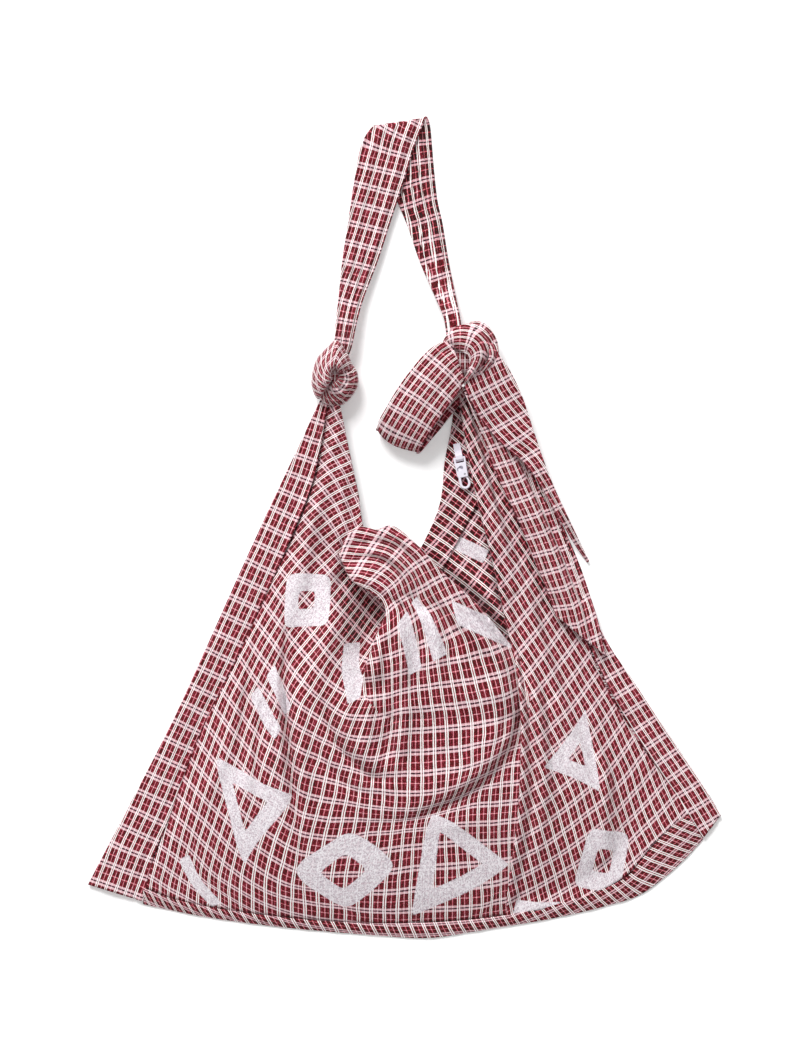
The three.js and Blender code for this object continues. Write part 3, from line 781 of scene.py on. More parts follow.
WARP_ORDER = sett(1.12, 0.96, 4.02, 0.86)
WEFT_ORDER = sett(2.4, 1.6, 6.9, 1.0)
# What the eye sees where a weft yarn crosses a white, dark, maroon or fine warp yarn.
CROSSINGS = {
    Yarn.MAROON: ("FFFAF8", "9A1C2E", "6E0D1A", "E694A0"),
    Yarn.WHITE: ("FFFFFF", "D09CA4", "E6BEC4", "FBE6E8"),
    Yarn.DARK: ("FFF2F2", "6E3846", "481C2A", "C090A0"),
    Yarn.FINE: ("FFFCFC", "B06C78", "DC808C", "FFE8EA"),
}


@dataclass(frozen=True)
class CheckedCotton:
    """Yarn-dyed shirting cotton with a glitter print on it.

    Attributes:
        name: the material's name.
        depth: how deep its dyed yarns look; above 1 it is painted shade over the whole finish.
        printed: whether the glitter print shows.
        close: how much closer the check looks where fine gathers take the cloth up, across and along.
    """

    name: str
    depth: float = 1.0
    printed: bool = True
    close: Place = (1.0, 1.0)

    # Two threads of the weave, in metres, and how high they stand
    WEAVE = 0.0009
    RELIEF = 0.0002
    # Slubs along a thread, and patches of dye, to a metre
    SLUBS = (900.0, 60.0)
    PATCHES = (750.0, 750.0)
    # What their sum varies between, and how deep the dye is at both ends
    DYE_SEEN = (0.7, 1.3)
    DYE_DEPTH = (1.75, 0.56)
    # How the threads wander: turns to a metre, and metres aside
    WANDER = ((45.0, 0.0011), (600.0, 0.0005))
    # The print's ragged edge, in millimetres, its cover and its grains to a metre
    RAGGED = 2.4
    EDGE = (1.0, 1.5)
    COVER = 0.9
    GRAIN = 1300.0
    GLITTER = 950.0

    def make(self) -> bpy.types.Material:
        """Builds the material.

        Returns:
            The material.
        """
        material, tree = new_material(self.name)
        uv = node(tree, "UVMap", {"uv_map": "Cloth"}).outputs["UV"]
        split = node(tree, "SeparateXYZ", None, Vector=uv)
        # Plain weave: which family lies on top changes from thread to thread.
        over = [
            maths(tree, "SINE", maths(tree, "MULTIPLY", split.outputs[k], 2 * math.pi / self.WEAVE))
            for k in (0, 1)
        ]
        weave = maths(tree, "MULTIPLY", *over)
        # Slubs and dye differences make the threads uneven. White yarn stays white.
        slubs, patches = (
            noise_2d(tree, uv, close, detail).outputs[0]
            for close, detail in ((self.SLUBS, 2.0), (self.PATCHES, 1.0))
        )
        # A depth above 1 deepens every dyed yarn of the finish: painted shade, on top of the random dye.
        light, dark = self.DYE_DEPTH
        dye_and_painted_shade = (light * self.depth, dark * self.depth)
        uneven_and_painted_shade = mapped(tree, maths(tree, "ADD", slubs, patches), self.DYE_SEEN, dye_and_painted_shade)
        check = self._check(tree, self._wandering(tree, uv))
        colour = node(tree, "Gamma", None, Color=check, Gamma=uneven_and_painted_shade).outputs[0]
        if self.printed:
            colour = self._print_on(tree, colour, uv)
        bump = node(tree, "Bump", None, Strength=0.35, Distance=self.RELIEF, Height=weave)
        shader = node(
            tree,
            "BsdfPrincipled",
            None,
            Base_Color=colour,
            Roughness=0.86,
            Sheen_Weight=0.12,
            Sheen_Roughness=0.5,
            Specular_IOR_Level=0.25,
            Normal=bump.outputs[0],
        )
        node(tree, "OutputMaterial", None, Surface=shader.outputs[0])
        return material

    def _wandering(self, tree: Tree, uv: Socket) -> Socket:
        """Lets the threads wander a little from their straight rows.

        Args:
            tree: the material's tree.
            uv: the cloth coordinates.

        Returns:
            The shifted coordinates.
        """
        moved = uv
        for scale, shift in self.WANDER:
            wander = noise_2d(tree, uv, (scale, scale), 1.0).outputs["Color"]
            centred = maths(tree, "SUBTRACT", wander, (0.5, 0.5, 0.5), kind="VectorMath")
            aside = maths(tree, "MULTIPLY", centred, (shift, shift, 0.0), kind="VectorMath")
            moved = maths(tree, "ADD", moved, aside, kind="VectorMath")
        return moved

    def _check(self, tree: Tree, uv: Socket) -> Socket:
        """Colours the check from its two repeats.

        Args:
            tree: the material's tree.
            uv: the cloth coordinates.

        Returns:
            The check's colour.
        """
        split = node(tree, "SeparateXYZ", None, Vector=uv)
        warp, weft = (
            maths(tree, "FRACT", maths(tree, "MULTIPLY", split.outputs[k], self.close[k] / repeat / MM))
            for k, repeat in ((0, WARP_REPEAT), (1, WEFT_REPEAT))
        )
        seen = {
            kind: sett_ramp(tree, warp, [(codes[yarn.value], width) for yarn, width in WARP_ORDER])
            for kind, codes in CROSSINGS.items()
        }
        colour = seen[Yarn.MAROON]
        for kind in (Yarn.WHITE, Yarn.DARK, Yarn.FINE):
            rows = [("FFFFFF" if yarn is kind else "000000", width) for yarn, width in WEFT_ORDER]
            colour = blended(tree, sett_ramp(tree, weft, rows), colour, seen[kind])
        return colour

    def _print_on(self, tree: Tree, colour: Socket, uv: Socket) -> Socket:
        """Lays the glitter print over the check.

        Args:
            tree: the material's tree.
            colour: the check's colour.
            uv: the cloth coordinates.

        Returns:
            The colour with the print on it.
        """
        distance = node(tree, "Attribute", {"attribute_name": "print_mm"}).outputs["Fac"]
        ragged = noise_2d(tree, uv, (self.GRAIN, self.GRAIN), 2.0).outputs[0]
        edge = maths(tree, "MULTIPLY_ADD", ragged, self.RAGGED, distance)
        cover = mapped(tree, edge, self.EDGE, (self.COVER, 0.0))
        place = maths(tree, "MULTIPLY", uv, (self.GLITTER, self.GLITTER, 1.0), kind="VectorMath")
        flakes = node(tree, "TexVoronoi", {"voronoi_dimensions": "2D"}, Vector=place, Scale=1.0)
        glitter = speckled(tree, flakes.outputs["Color"], ((0.12, srgb("C4B4BE")), (0.72, srgb("FAF6FA"))))
        return blended(tree, cover, colour, glitter)


@dataclass(frozen=True)
class PlainFinish:
    """A moulded, drawn or woven finish of one colour with a fine grain.

    Attributes:
        name: the material's name.
        code: its colour.
        roughness: its roughness.
        grain: grains to a metre.
        depth: depth of the grain in metres.
        metallic: 1 for metal.
    """

    name: str
    code: str
    roughness: float
    grain: float
    depth: float
    metallic: float = 0.0

    def make(self) -> bpy.types.Material:
        """Builds the material.

        Returns:
            The material.
        """
        material, tree = new_material(self.name)
        place = node(tree, "TexCoord").outputs["Object"]
        grains = node(tree, "TexNoise", None, Vector=place, Scale=self.grain, Detail=3.0).outputs[0]
        shade = speckled(tree, grains, ((0.0, srgb(self.code, 0.9)), (1.0, srgb(self.code))))
        bump = node(tree, "Bump", None, Strength=0.4, Distance=self.depth, Height=grains)
        look = {"Base_Color": shade, "Roughness": self.roughness, "Metallic": self.metallic}
        shader = node(tree, "BsdfPrincipled", None, Normal=bump.outputs[0], **look)
        node(tree, "OutputMaterial", None, Surface=shader.outputs[0])
        return material


@dataclass(frozen=True)
class Finishes:
    """The bag's materials.

    Attributes:
        outside: checked cotton with its print.
        inside: the cotton's inner face, deepened as painted shade inside the bag and in the front's hollows.
        hem: checked cotton with no print, turned up at the hem and deepened as painted shade.
        band: checked cotton with no print, on bands, strap and tie.
        reverse: the same cotton's reverse, deepened as painted shade, where the strap turns over and beside
            the pointed tail.
        plastic: moulded plastic of the clip.
        ribbon: woven ribbon of the clip's tab.
        steel: the clip's pin.
    """

    outside: bpy.types.Material
    inside: bpy.types.Material
    hem: bpy.types.Material
    band: bpy.types.Material
    reverse: bpy.types.Material
    plastic: bpy.types.Material
    ribbon: bpy.types.Material
    steel: bpy.types.Material

    @classmethod
    def made(cls) -> "Finishes":
        """Builds every material.

        Returns:
            The materials.
        """
        gathered = (1.2, 1.08)
        return cls(
            # The eye reads crisp red and white shirting, under a worn silvery print.
            outside=CheckedCotton("checked_cotton_with_glitter_print").make(),
            # Deeper yarns are painted shade: the inside of the bag and the front's hollows and gaps are
            # darkened in the colour.
            inside=CheckedCotton("checked_cotton_reverse_painted_shade", depth=1.45).make(),
            # Deeper yarns are painted shade, where the hem turns away from the light.
            hem=CheckedCotton("checked_cotton_hem_painted_shade", depth=1.25, printed=False).make(),
            band=CheckedCotton("checked_cotton_band", printed=False, close=gathered).make(),
            # Its deeper yarns are painted shade: on the strap's turned leg and on the wide tail's strip under
            # the pointed tail, where the reverse shows too.
            reverse=CheckedCotton("checked_cotton_band_reverse_painted_shade", 1.5, False, gathered).make(),
            # Satin and cool white, so the clip stands off the warm cloth.
            plastic=PlainFinish("pale_moulded_plastic", "EDE9F4", 0.38, 900.0, 0.00002).make(),
            # Matt with a fine woven grain, next to the plastic's sheen.
            ribbon=PlainFinish("pale_woven_ribbon", "E4DEEA", 0.8, 2500.0, 0.00008).make(),
            # A bright metal point in the pale clip.
            steel=PlainFinish("drawn_steel_wire", "B9BCC2", 0.3, 1500.0, 0.00001, metallic=1.0).make(),
        )


# The glitter print: plain shapes scattered over the cloth


class Motif(Enum):
    """Plain shapes of the print."""

    DOUBLE_BAR = 0
    TRIANGLE_FRAME = 1
    SQUARE_FRAME = 2
    BAR = 3


@dataclass(frozen=True)
class PrintMark:
    """One shape of the print, placed on the plan.

    Attributes:
        motif: its shape.
        x: its centre across.
        y: its centre up the plan.
        size: half its size.
        turn: its turn.
    """

    motif: Motif
    x: float
    y: float
    size: float
    turn: float

    # Half the width of a brush stroke, and of a narrower one
    STROKE = 9.8
    THIN = 0.85 * STROKE

    def distance(self, st: Array, centre: Array) -> Array:
        """Distance outside the shape on the cloth.

        Args:
            st: cloth coordinates of the places asked for.
            centre: cloth coordinates of the shape's centre.

        Returns:
            Distance, below zero inside.
        """
        a = math.radians(self.turn)
        dx, dy = st[..., 0] - centre[0], st[..., 1] - centre[1]
        x = dx * math.cos(a) + dy * math.sin(a)
        y = -dx * math.sin(a) + dy * math.cos(a)
        if self.motif is Motif.DOUBLE_BAR:
            return np.maximum(np.abs(np.abs(x) - 1.6 * self.STROKE) - self.THIN, np.abs(y) - self.size)
        if self.motif is Motif.TRIANGLE_FRAME:
            sides = np.maximum(0.866 * np.abs(x) + 0.5 * y, -y) - 0.62 * self.size
            return np.abs(sides + self.THIN) - self.THIN
        if self.motif is Motif.SQUARE_FRAME:
            # A sixth power rounds the corners.
            edge = (x**6 + y**6) ** (1 / 6)
            return np.abs(edge - 0.96 * self.size + self.STROKE) - self.STROKE
        return np.maximum(np.abs(x) - 0.36 * self.size, np.abs(y) - 1.1 * self.size)


# Cloth grids and meshes


def add_object(name: str, data: bpy.types.ID) -> bpy.types.Object:
    """Puts an object into the scene.

    Args:
        name: its name.
        data: its mesh, light or camera.

    Returns:
        The new object.
    """
    made = bpy.data.objects.new(name, data)
    bpy.context.scene.collection.objects.link(made)
    return made


def new_piece(name: str, bm: bmesh.types.BMesh) -> bpy.types.Object:
    """Turns a primitive into a smooth piece.

    Args:
        name: the piece's name.
        bm: the primitive, which is used up.

    Returns:
        The new object.
    """
    mesh = bpy.data.meshes.new(name)
    bm.to_mesh(mesh)
    bm.free()
    mesh.polygons.foreach_set("use_smooth", [True] * len(mesh.polygons))
    return add_object(name, mesh)


def points_of(mesh: bpy.types.Mesh) -> Array:
    """Reads a primitive's points.

    Args:
        mesh: its mesh.

    Returns:
        The points, in its own unit.
    """
    points = np.empty(3 * len(mesh.vertices))
    mesh.vertices.foreach_get("co", points)
    return points.reshape(-1, 3)


def move_points(mesh: bpy.types.Mesh, points: Array) -> None:
    """Puts a mesh's points where they belong.

    Args:
        mesh: the mesh.
        points: their places.
    """
    mesh.vertices.foreach_set("co", (points * MM).ravel())


def lay_cloth(mesh: bpy.types.Mesh, st: Array) -> None:
    """Writes cloth coordinates on a mesh.

    Args:
        mesh: the mesh.
        st: the two coordinates at each of its vertices.
    """
    owner = np.empty(len(mesh.loops), dtype=np.int32)
    mesh.loops.foreach_get("vertex_index", owner)
    mesh.uv_layers.new(name="Cloth").data.foreach_set("uv", (st[owner] * MM).ravel())


@dataclass
class ClothGrid:
    """A rectangular grid of cloth points with their cloth coordinates.

    Attributes:
        xyz: points, by column and row.
        st: cloth coordinates, by column and row.
        marks: print shapes on this piece.
        threads: the map that places the print shapes.
    """

    xyz: Array
    st: Array
    marks: list[PrintMark] = field(default_factory=list)
    threads: ThreadMap | None = None

    # Distance from the print where there is none near
    CLEAR = 99.0

    def flat_area(self) -> float:
        """Area of the cloth as cut.

        Returns:
            Square metres.
        """
        a = self.st[1:, :-1] - self.st[:-1, :-1]
        b = self.st[:-1, 1:] - self.st[:-1, :-1]
        return float(np.abs(a[..., 0] * b[..., 1] - a[..., 1] * b[..., 0]).sum()) * MM * MM

    def own_size(self) -> Place:
        """Mean lengths of a plain strip along its two directions, measured on its surface.

        Returns:
            Metres along and across.
        """
        along, across = (np.linalg.norm(np.diff(self.xyz, axis=k), axis=2).sum(k).mean() for k in (0, 1))
        return float(along) * MM, float(across) * MM

    def print_distance(self) -> Array:
        """Distance from every point to the nearest print shape.

        Returns:
            Distance on the cloth, below zero inside a shape.
        """
        near = np.full(self.xyz.shape[:2], self.CLEAR)
        for mark in self.marks:
            centre = self.threads.at(np.array([mark.x]), np.array([mark.y]))[0]
            near = np.minimum(near, mark.distance(self.st, centre))
        return near

    def build(self, name: str, material: bpy.types.Material, thickness: float) -> bpy.types.Object:
        """Makes the cloth's mesh with its thickness.

        Args:
            name: the piece's name.
            material: its finish.
            thickness: thickness of the cloth.

        Returns:
            The new object.
        """
        columns, rows = self.xyz.shape[:2]
        bm = bmesh.new()
        bmesh.ops.create_grid(bm, x_segments=columns - 1, y_segments=rows - 1, size=1.0)
        sheet = new_piece(name, bm)
        mesh = sheet.data
        flat = points_of(mesh)[:, :2]
        i, j = np.rint((flat + 1) / 2 * (columns - 1, rows - 1)).astype(int).T
        move_points(mesh, self.xyz[i, j])
        lay_cloth(mesh, self.st[i, j])
        printed = mesh.attributes.new("print_mm", "FLOAT", "POINT")
        printed.data.foreach_set("value", self.print_distance()[i, j])
        mesh.update()
        if np.mean([face.normal.z for face in mesh.polygons]) < 0:
            mesh.flip_normals()
        mesh.materials.append(material)
        thicken = sheet.modifiers.new("Cloth thickness", "SOLIDIFY")
        thicken.thickness = thickness * MM
        thicken.offset = -1.0
        thicken.use_rim = True
        apply_modifiers(sheet)
        log.info("%s: %d x %d points, %.4f m2 of cloth", name, columns, rows, self.flat_area())
        return sheet


def apply_modifiers(piece: bpy.types.Object) -> None:
    """Bakes a piece's modifiers into its mesh.

    Args:
        piece: the piece.
    """
    graph = bpy.context.evaluated_depsgraph_get()
    baked = bpy.data.meshes.new_from_object(piece.evaluated_get(graph), depsgraph=graph)
    piece.modifiers.clear()
    old = piece.data
    piece.data = baked
    baked.name = old.name + "_mesh"
    bpy.data.meshes.remove(old)


@dataclass(frozen=True)
class Sheet:
    """Attributes:
        name: the piece's name.
        body: the body that it rides on.
        cad: the CAD node that it stands for.
        held: how it is held; not used.
        below: what it rests on; not used.
        thickness: its thickness, with what its folds hide.
    """

    name: str
    body: str
    cad: str
    held: str
    below: tuple[str, ...] = ()
    thickness: float = 1.4

    # The least share of its outer rectangle that a slanted cloth is taken to fill
    LEAST_FILL = 0.3

    def make(
        self, grid: ClothGrid, material: bpy.types.Material, own_size: bool = False
    ) -> bpy.types.Object:
        """Args:
            grid: its points and its cloth coordinates, which give its flat size.
            material: its finish.
            own_size: whether it is a plain strip; not used.

        Returns:
            The new object.
        """
        piece = grid.build(self.name, material, self.thickness)
        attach(piece, self.body)
        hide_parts(self.cad)
        if own_size:
            return piece
        return piece


def show_reverse_with_painted_shade(
    piece: bpy.types.Object, material: bpy.types.Material, outlines: list[list[Place]], top: float = math.inf
) -> None:
    """Gives parts of a cloth its deeper reverse finish, as painted shade.

    Args:
        piece: the cloth.
        material: the deeper finish, which is painted shade.
        outlines: corners of each of those parts on the plan.
        top: height above which the outside shows all the same.
    """
    mesh = piece.data
    mesh.materials.append(material)
    centres = np.empty(3 * len(mesh.polygons))
    mesh.polygons.foreach_get("center", centres)
    x, y, z = centres.reshape(-1, 3).T / MM
    within = np.zeros(len(x), dtype=bool)
    edges = [edge for corners in outlines for edge in zip(corners, corners[1:] + corners[:1])]
    for (ax, ay), (bx, by) in edges:
        if ay != by:
            within ^= ((ay > y) != (by > y)) & (x < ax + (y - ay) * (bx - ax) / (by - ay))
    mesh.polygons.foreach_set("material_index", (within & (z < top)).astype(np.int32))


def coons(bottom: Array, top: Array, left: Array, right: Array) -> Array:
    """Fills four edges with a grid.

    Args:
        bottom: points from left to right.
        top: points from left to right, as many.
        left: points from bottom to top.
        right: points from bottom to top, as many.

    Returns:
        The grid, by column and row.
    """
    u = np.linspace(0, 1, len(bottom))[:, None, None]
    v = np.linspace(0, 1, len(left))[None, :, None]
    corners = (
        (1 - u) * (1 - v) * bottom[0] + u * (1 - v) * bottom[-1] + (1 - u) * v * top[0] + u * v * top[-1]
    )
    ruled = (1 - v) * bottom[:, None, :] + v * top[:, None, :]
    return ruled + (1 - u) * left[None, :, :] + u * right[None, :, :] - corners


def between(inner: Array, outer: Array, count: int) -> tuple[Array, Array]:
    """Rules a grid between two edges.

    Args:
        inner: points of the first edge.
        outer: points of the second edge, as many.
        count: points from one to the other.

    Returns:
        The grid, by place on the edges and place across, and the share of the way across.
    """
    v = np.linspace(0, 1, count)[None, :, None]
    return inner[:, None, :] * (1 - v) + outer[:, None, :] * v, v[..., 0]


def roll_edge(plan: Array, depth: Array, rows: int, radius: float, side: str) -> tuple[Array, Array, Array]:
    """Adds rows beyond an edge of a plan grid that roll under it.

    Args:
        plan: plan points by column and row.
        depth: heights by column and row.
        rows: how many rows to add.
        radius: radius of the roll.
        side: which edge: left, right, bottom or top.

    Returns:
        The plan points, the heights and the unrolled plan points, with the new rows.
    """
    axis = {"left": 0, "right": 0, "bottom": 1, "top": 1}[side]
    first = side in ("left", "bottom")
    edge = np.take(plan, 0 if first else -1, axis=axis)
    inner = np.take(plan, 2 if first else -3, axis=axis)
    high = np.take(depth, 0 if first else -1, axis=axis)
    way = edge - inner
    way /= np.maximum(np.linalg.norm(way, axis=-1, keepdims=True), 1e-6)
    turned = [math.pi * k / rows for k in range(1, rows + 1)]
    turned = turned[::-1] if first else turned
    plans = [edge + way * (radius * math.sin(angle)) for angle in turned]
    highs = [high - radius * (1 - math.cos(angle)) for angle in turned]
    flats = [edge + way * (radius * angle) for angle in turned]
    whole = []
    for new, old in ((plans, plan), (highs, depth), (flats, plan)):
        stacked = np.stack(new, axis=axis)
        whole.append(np.concatenate([stacked, old] if first else [old, stacked], axis=axis))
    return tuple(whole)


def raised(plan: Array, z: Array) -> Array:
    """Sets heights on plan points.

    Args:
        plan: the plan points.
        z: their heights.

    Returns:
        The points.
    """
    return np.dstack([plan, z[..., None]])


@dataclass(frozen=True)
class Band:
    """A band of cloth between two edges, with its warp along it.

    Attributes:
        left: its left edge.
        right: its right edge.
        columns: points across.
        spans: spans between two of the given points.
        fullness: how much wider the cloth is than the band.
        crown: how far its middle rises over its edges.
        edge: radius of its rolled edges.
        pleats: soft pleats across it.
        depth: their depth at the start; they fade to a third of it.
        creases: for each crease, its share of the way across at the start and at the end, its depth
            and its width.
        bulge: a share of the way along, the share that it reaches, and how far the band's middle
            moves there.
        selvage: the share of the way across from which the threads are counted.
        slant: how far the weft leans for each millimetre off the middle.
        phase: where its check starts.
    """

    left: list
    right: list
    columns: int = 40
    spans: int = 14
    fullness: float = 1.0
    crown: float = 0.0
    edge: float = 0.0
    pleats: float = 0.0
    depth: float = 0.0
    creases: tuple[tuple[float, float, float, float], ...] = ()
    bulge: tuple[float, float, float, float] = (0.5, 0.1, 0.0, 0.0)
    selvage: float = 0.5
    slant: float = 0.0
    phase: Place = (0.0, 0.0)

    ROLL_ROWS = 6
    ROLL_TURN = 0.9 * math.pi

    def grid(
        self,
        height: Callable[[Array, Array, Array, Array], Array] | None = None,
        crown_at: Callable[[Array], Array] | None = None,
    ) -> ClothGrid:
        """Rules the band between its edges.

        Args:
            height: gives the height from plan x, plan y and the shares of the way along and across;
                without it the edges hold their own.
            crown_at: gives the share of the crown from the share of the way along.

        Returns:
            The grid.
        """
        a, b = stations(self.left, self.spans), stations(self.right, self.spans)
        wide = b - a
        width = np.linalg.norm(wide, axis=1)[:, None]
        inward = wide / np.maximum(width, 1e-6)
        a, b = a + inward * self.edge, b - inward * self.edge
        points, v = between(a, b, self.columns)
        along = np.linspace(0, 1, len(a))[:, None] + 0 * v
        across = v + 0 * along
        place, reach, *move = self.bulge
        near = np.exp(-(((along - place) / reach) ** 2)) * np.sin(np.pi * across**0.8)
        x, y = points[..., 0] + move[0] * near, points[..., 1] + move[1] * near
        z = height(x, y, along, across) if height else points[..., 2]
        crown = self.crown * (crown_at(along) if crown_at else 1.0)
        z = z + crown * np.sin(np.pi * across) ** 0.8
        fading = self.depth * (1 - 0.67 * along)
        z = z + fading * np.cos(2 * np.pi * (self.pleats * across + 0.2 * np.sin(4 * along)))
        for start, end, depth, reach in self.creases:
            # A crease wanders a little and is deep in places only.
            place = start + (end - start) * along + 0.015 * np.sin(9 * along + 7 * start)
            off = np.abs(across - place) * width
            z = z - depth * np.exp(-off / reach) * (0.55 + 0.45 * np.sin(5 * along + 11 * start))
        middle = (a + b) / 2
        ahead = np.gradient(middle, axis=0)
        ahead = ahead / np.linalg.norm(ahead, axis=1, keepdims=True)
        skew = (wide * ahead).sum(1, keepdims=True)
        square = np.sqrt(np.maximum(width**2 - skew**2, 1.0))
        # The threads run square to the middle line, whatever way the edges face each other.
        run = run_along(middle)[:, None] + (across - 0.5) * skew
        s = (across - self.selvage) * square * self.fullness
        run = run + self.slant * np.abs(across - 0.5) * square * self.fullness
        xyz, st = np.dstack([x, y, z]), np.dstack([s, run])
        if self.edge > 0:
            xyz, st = self._rolled(xyz, st)
        return ClothGrid(xyz, st + np.array(self.phase))

    def _rolled(self, xyz: Array, st: Array) -> tuple[Array, Array]:
        """Rolls both long edges under.

        Args:
            xyz: the band's points.
            st: its cloth coordinates.

        Returns:
            The points and the cloth coordinates with the rolls.
        """
        for last, sign in ((0, -1), (-1, 1)):
            edge = xyz[:, last]
            way = edge - xyz[:, last - sign]
            way[:, 2] = 0
            way /= np.maximum(np.linalg.norm(way, axis=1, keepdims=True), 1e-6)
            points, cloth = [], []
            for k in range(1, self.ROLL_ROWS + 1):
                angle = self.ROLL_TURN * k / self.ROLL_ROWS
                points.append(edge + way * self.edge * math.sin(angle))
                points[-1][:, 2] -= self.edge * (1 - math.cos(angle))
                cloth.append(st[:, last] + (sign * self.edge * angle, 0.0))
            parts = [[np.stack(points[::sign], 1), xyz], [np.stack(cloth[::sign], 1), st]]
            xyz, st = (np.concatenate(pair[::-sign], 1) for pair in parts)
        return xyz, st


@dataclass(frozen=True)
class KnotLobe:
    """One lobe of a knot, which fans round the pit where the cloth goes in.

    Attributes:
        pit: the pit, on the plan.
        outline: its outer edge on the plan.
        middle: height of its outer edge.
        crown: how far it rises over its outer edge.
        pleats: pleats round the fan.
        depth: their depth.
        phase: where its check starts.
        weave: threads for each millimetre round the pit and out from it, as the gathers show them.
        crumple: height of its small creases.
    """

    pit: Place
    outline: list
    middle: float
    crown: float
    pleats: float = 0.0
    depth: float = 0.0
    phase: Place = (0.0, 0.0)
    weave: Place = (1.25, 0.66)
    crumple: float = 0.0

    # Points round the rim, from the pit to the rim, and on the part that turns under
    RIM = 110
    OUT = 44
    UNDER = 12
    FOOT = 4.0

    def grid(self) -> ClothGrid:
        """Fans the lobe out.

        Returns:
            The grid.
        """
        rim = smooth(self.outline, self.RIM)
        pit = np.array(self.pit)
        out = rim - pit
        u = np.linspace(0, 1, len(rim))[:, None]
        top = np.linspace(0.05, 1, self.OUT) ** 0.8
        wobble = 0.12 * np.sin(9 * u) + 0.05 * np.sin(23 * u)
        # It rises steeply from the rim and sinks into the pit.
        rise = np.sqrt(np.maximum(0, 1 - top**2)) * (1 - 0.9 * np.exp(-((top / 0.17) ** 2)))
        plan = pit + out[:, None, :] * top[None, :, None]
        pleat = np.cos(2 * np.pi * (self.pleats * u + wobble + 0.15 * top[None, :]))
        ends = np.minimum(1, 7 * np.minimum(u, 1 - u)) ** 0.5
        z = self.middle + self.crown * rise[None, :] * (0.55 + 0.45 * ends)
        z = z + self.depth * pleat * (np.sin(np.pi * top) ** 0.6)[None, :]
        x, y = plan[..., 0], plan[..., 1]
        creases = wrinkle(x, y, 8.0, 61) + 0.5 * wrinkle(x, y, 3.5, 62)
        z = z + self.crumple * creases * np.sin(np.pi * top) ** 0.5
        turn = np.linspace(0.1, 1.25, self.UNDER)
        under = pit + out[:, None, :] * (1 - 0.2 * (1 - np.cos(turn)))[None, :, None]
        deep = self.middle - (self.middle - self.FOOT) * np.sin(turn)[None, :] + 0 * u
        xyz = np.concatenate([np.dstack([plan, z]), np.dstack([under, deep])], 1)
        # The threads crowd towards the pit.
        reach = np.concatenate([top, np.ones(self.UNDER)])[None, :]
        around = self.weave[0] * run_along(rim)[:, None] * (0.45 + 0.55 * reach)
        steps = np.linalg.norm(np.diff(xyz, axis=1), axis=2).mean(0)
        outward = self.weave[1] * np.concatenate([[0], np.cumsum(steps)])[None, :] + 0 * u
        around[:, : self.OUT] += 1.2 * self.crumple * creases
        return ClothGrid(xyz, np.dstack([around, outward]) + np.array(self.phase))


# Outlines of the bag on the plan: the same places as in the solids

LEFT_OUTER = [
    (-84.5, 128), (-150.5, -12.5), (-204.5, -132.5), (-232, -192.5), (-283.5, -292.5), (-318, -358.5),
]
LEFT_FOOT = (-262.5, -375.5)
HEM_BOTTOM = [
    (-262.5, -378.5), (-204.5, -390.5), (-124.5, -401.5), (-24.5, -410), (24, -412.5), (75.5, -405),
    (155.5, -391.5), (215.5, -376.5), (240.5, -367), (285.5, -329.5), (300, -313.5),
]
RIGHT_OUTER = [
    (95.5, 142.5), (135.5, 57.5), (167.5, -27.5), (195.5, -100.5), (235.5, -162.5), (275.5, -222.5),
    (308.5, -272.5), (318, -289),
]
LEFT_SEAM = [
    (-76.5, 128), (-91.5, 47.5), (-123.5, -32.5), (-166.5, -127.5), (-207.5, -212.5), (-236.5, -292.5),
    (-262.5, -361.5),
]
HEM_TOP = [
    (-262.5, -361.5), (-224.5, -375), (-124.5, -391), (-24.5, -397.5), (75.5, -392.5), (155.5, -377.5),
    (225.5, -349), (250.5, -317.5), (285.5, -287.5),
]
RIGHT_SEAM = [(89.5, 139.5), (120.5, 57.5), (155.5, -32.5), (198.5, -147.5), (235.5, -212.5), (285.5, -287.5)]
RIGHT_FOOT = (300, -312)
MOUTH_LEFT = [(-64, 122, 17), (-55, 77.5, 18), (-46, 35, 17), (-40, -2, 20), (-34, -11, 22)]
COWL_LINE = [
    (-34, -11, 22), (-22, -14, 34), (-4, -22, 38), (15.5, -36, 40), (40.5, -60, 38), (65.5, -89, 34),
    (92.5, -117, 26), (109, -126, 18),
]
MOUTH_RIGHT = [
    (109, -126, 18), (98, -75, 18), (88, -30, 18), (78, 20, 17), (72, 60, 16), (64, 98, 15), (60, 134, 14),
]
BACK_MOUTH = [
    (52, 134), (47.5, 97.5), (41.5, 67.5), (36.5, 24.5), (21.5, -12.5), (0.5, -47.5), (-12.5, -57.5),
    (-29.5, -47.5), (-44.5, -12.5), (-54.5, 27.5), (-62.5, 77.5), (-68, 128),
]
FACING_SEAM = [(66, 132), (73.5, 87.5), (76, 57.5), (74.5, 30.5), (57.5, -4.5), (36.5, -44.5), (14.5, -74.5)]
RIGHT_LAP = [
    (103.5, -390.5), (106.5, -352.5), (113.5, -302.5), (117.5, -242.5), (117.5, -182.5), (112.5, -132.5),
    (105.5, -102.5), (96.5, -62.5), (87.5, -22.5), (77.5, 15.5), (70.5, 47.5), (65.5, 72.5), (60.5, 102.5),
    (56.5, 135.5),
]
POUCH_LEFT = [
    (-48.5, -188.5), (-41.5, -167.5), (-35.5, -137.5), (-27.5, -110.5), (-17.5, -78.5), (-34.5, -60.5),
    (-52.5, -49.5), (-62.5, -29.5),
]
LEFT_KNOT = (-70.0, 154.5, 21.5)
RIGHT_KNOT = (63.5, 172.5, 21.5)


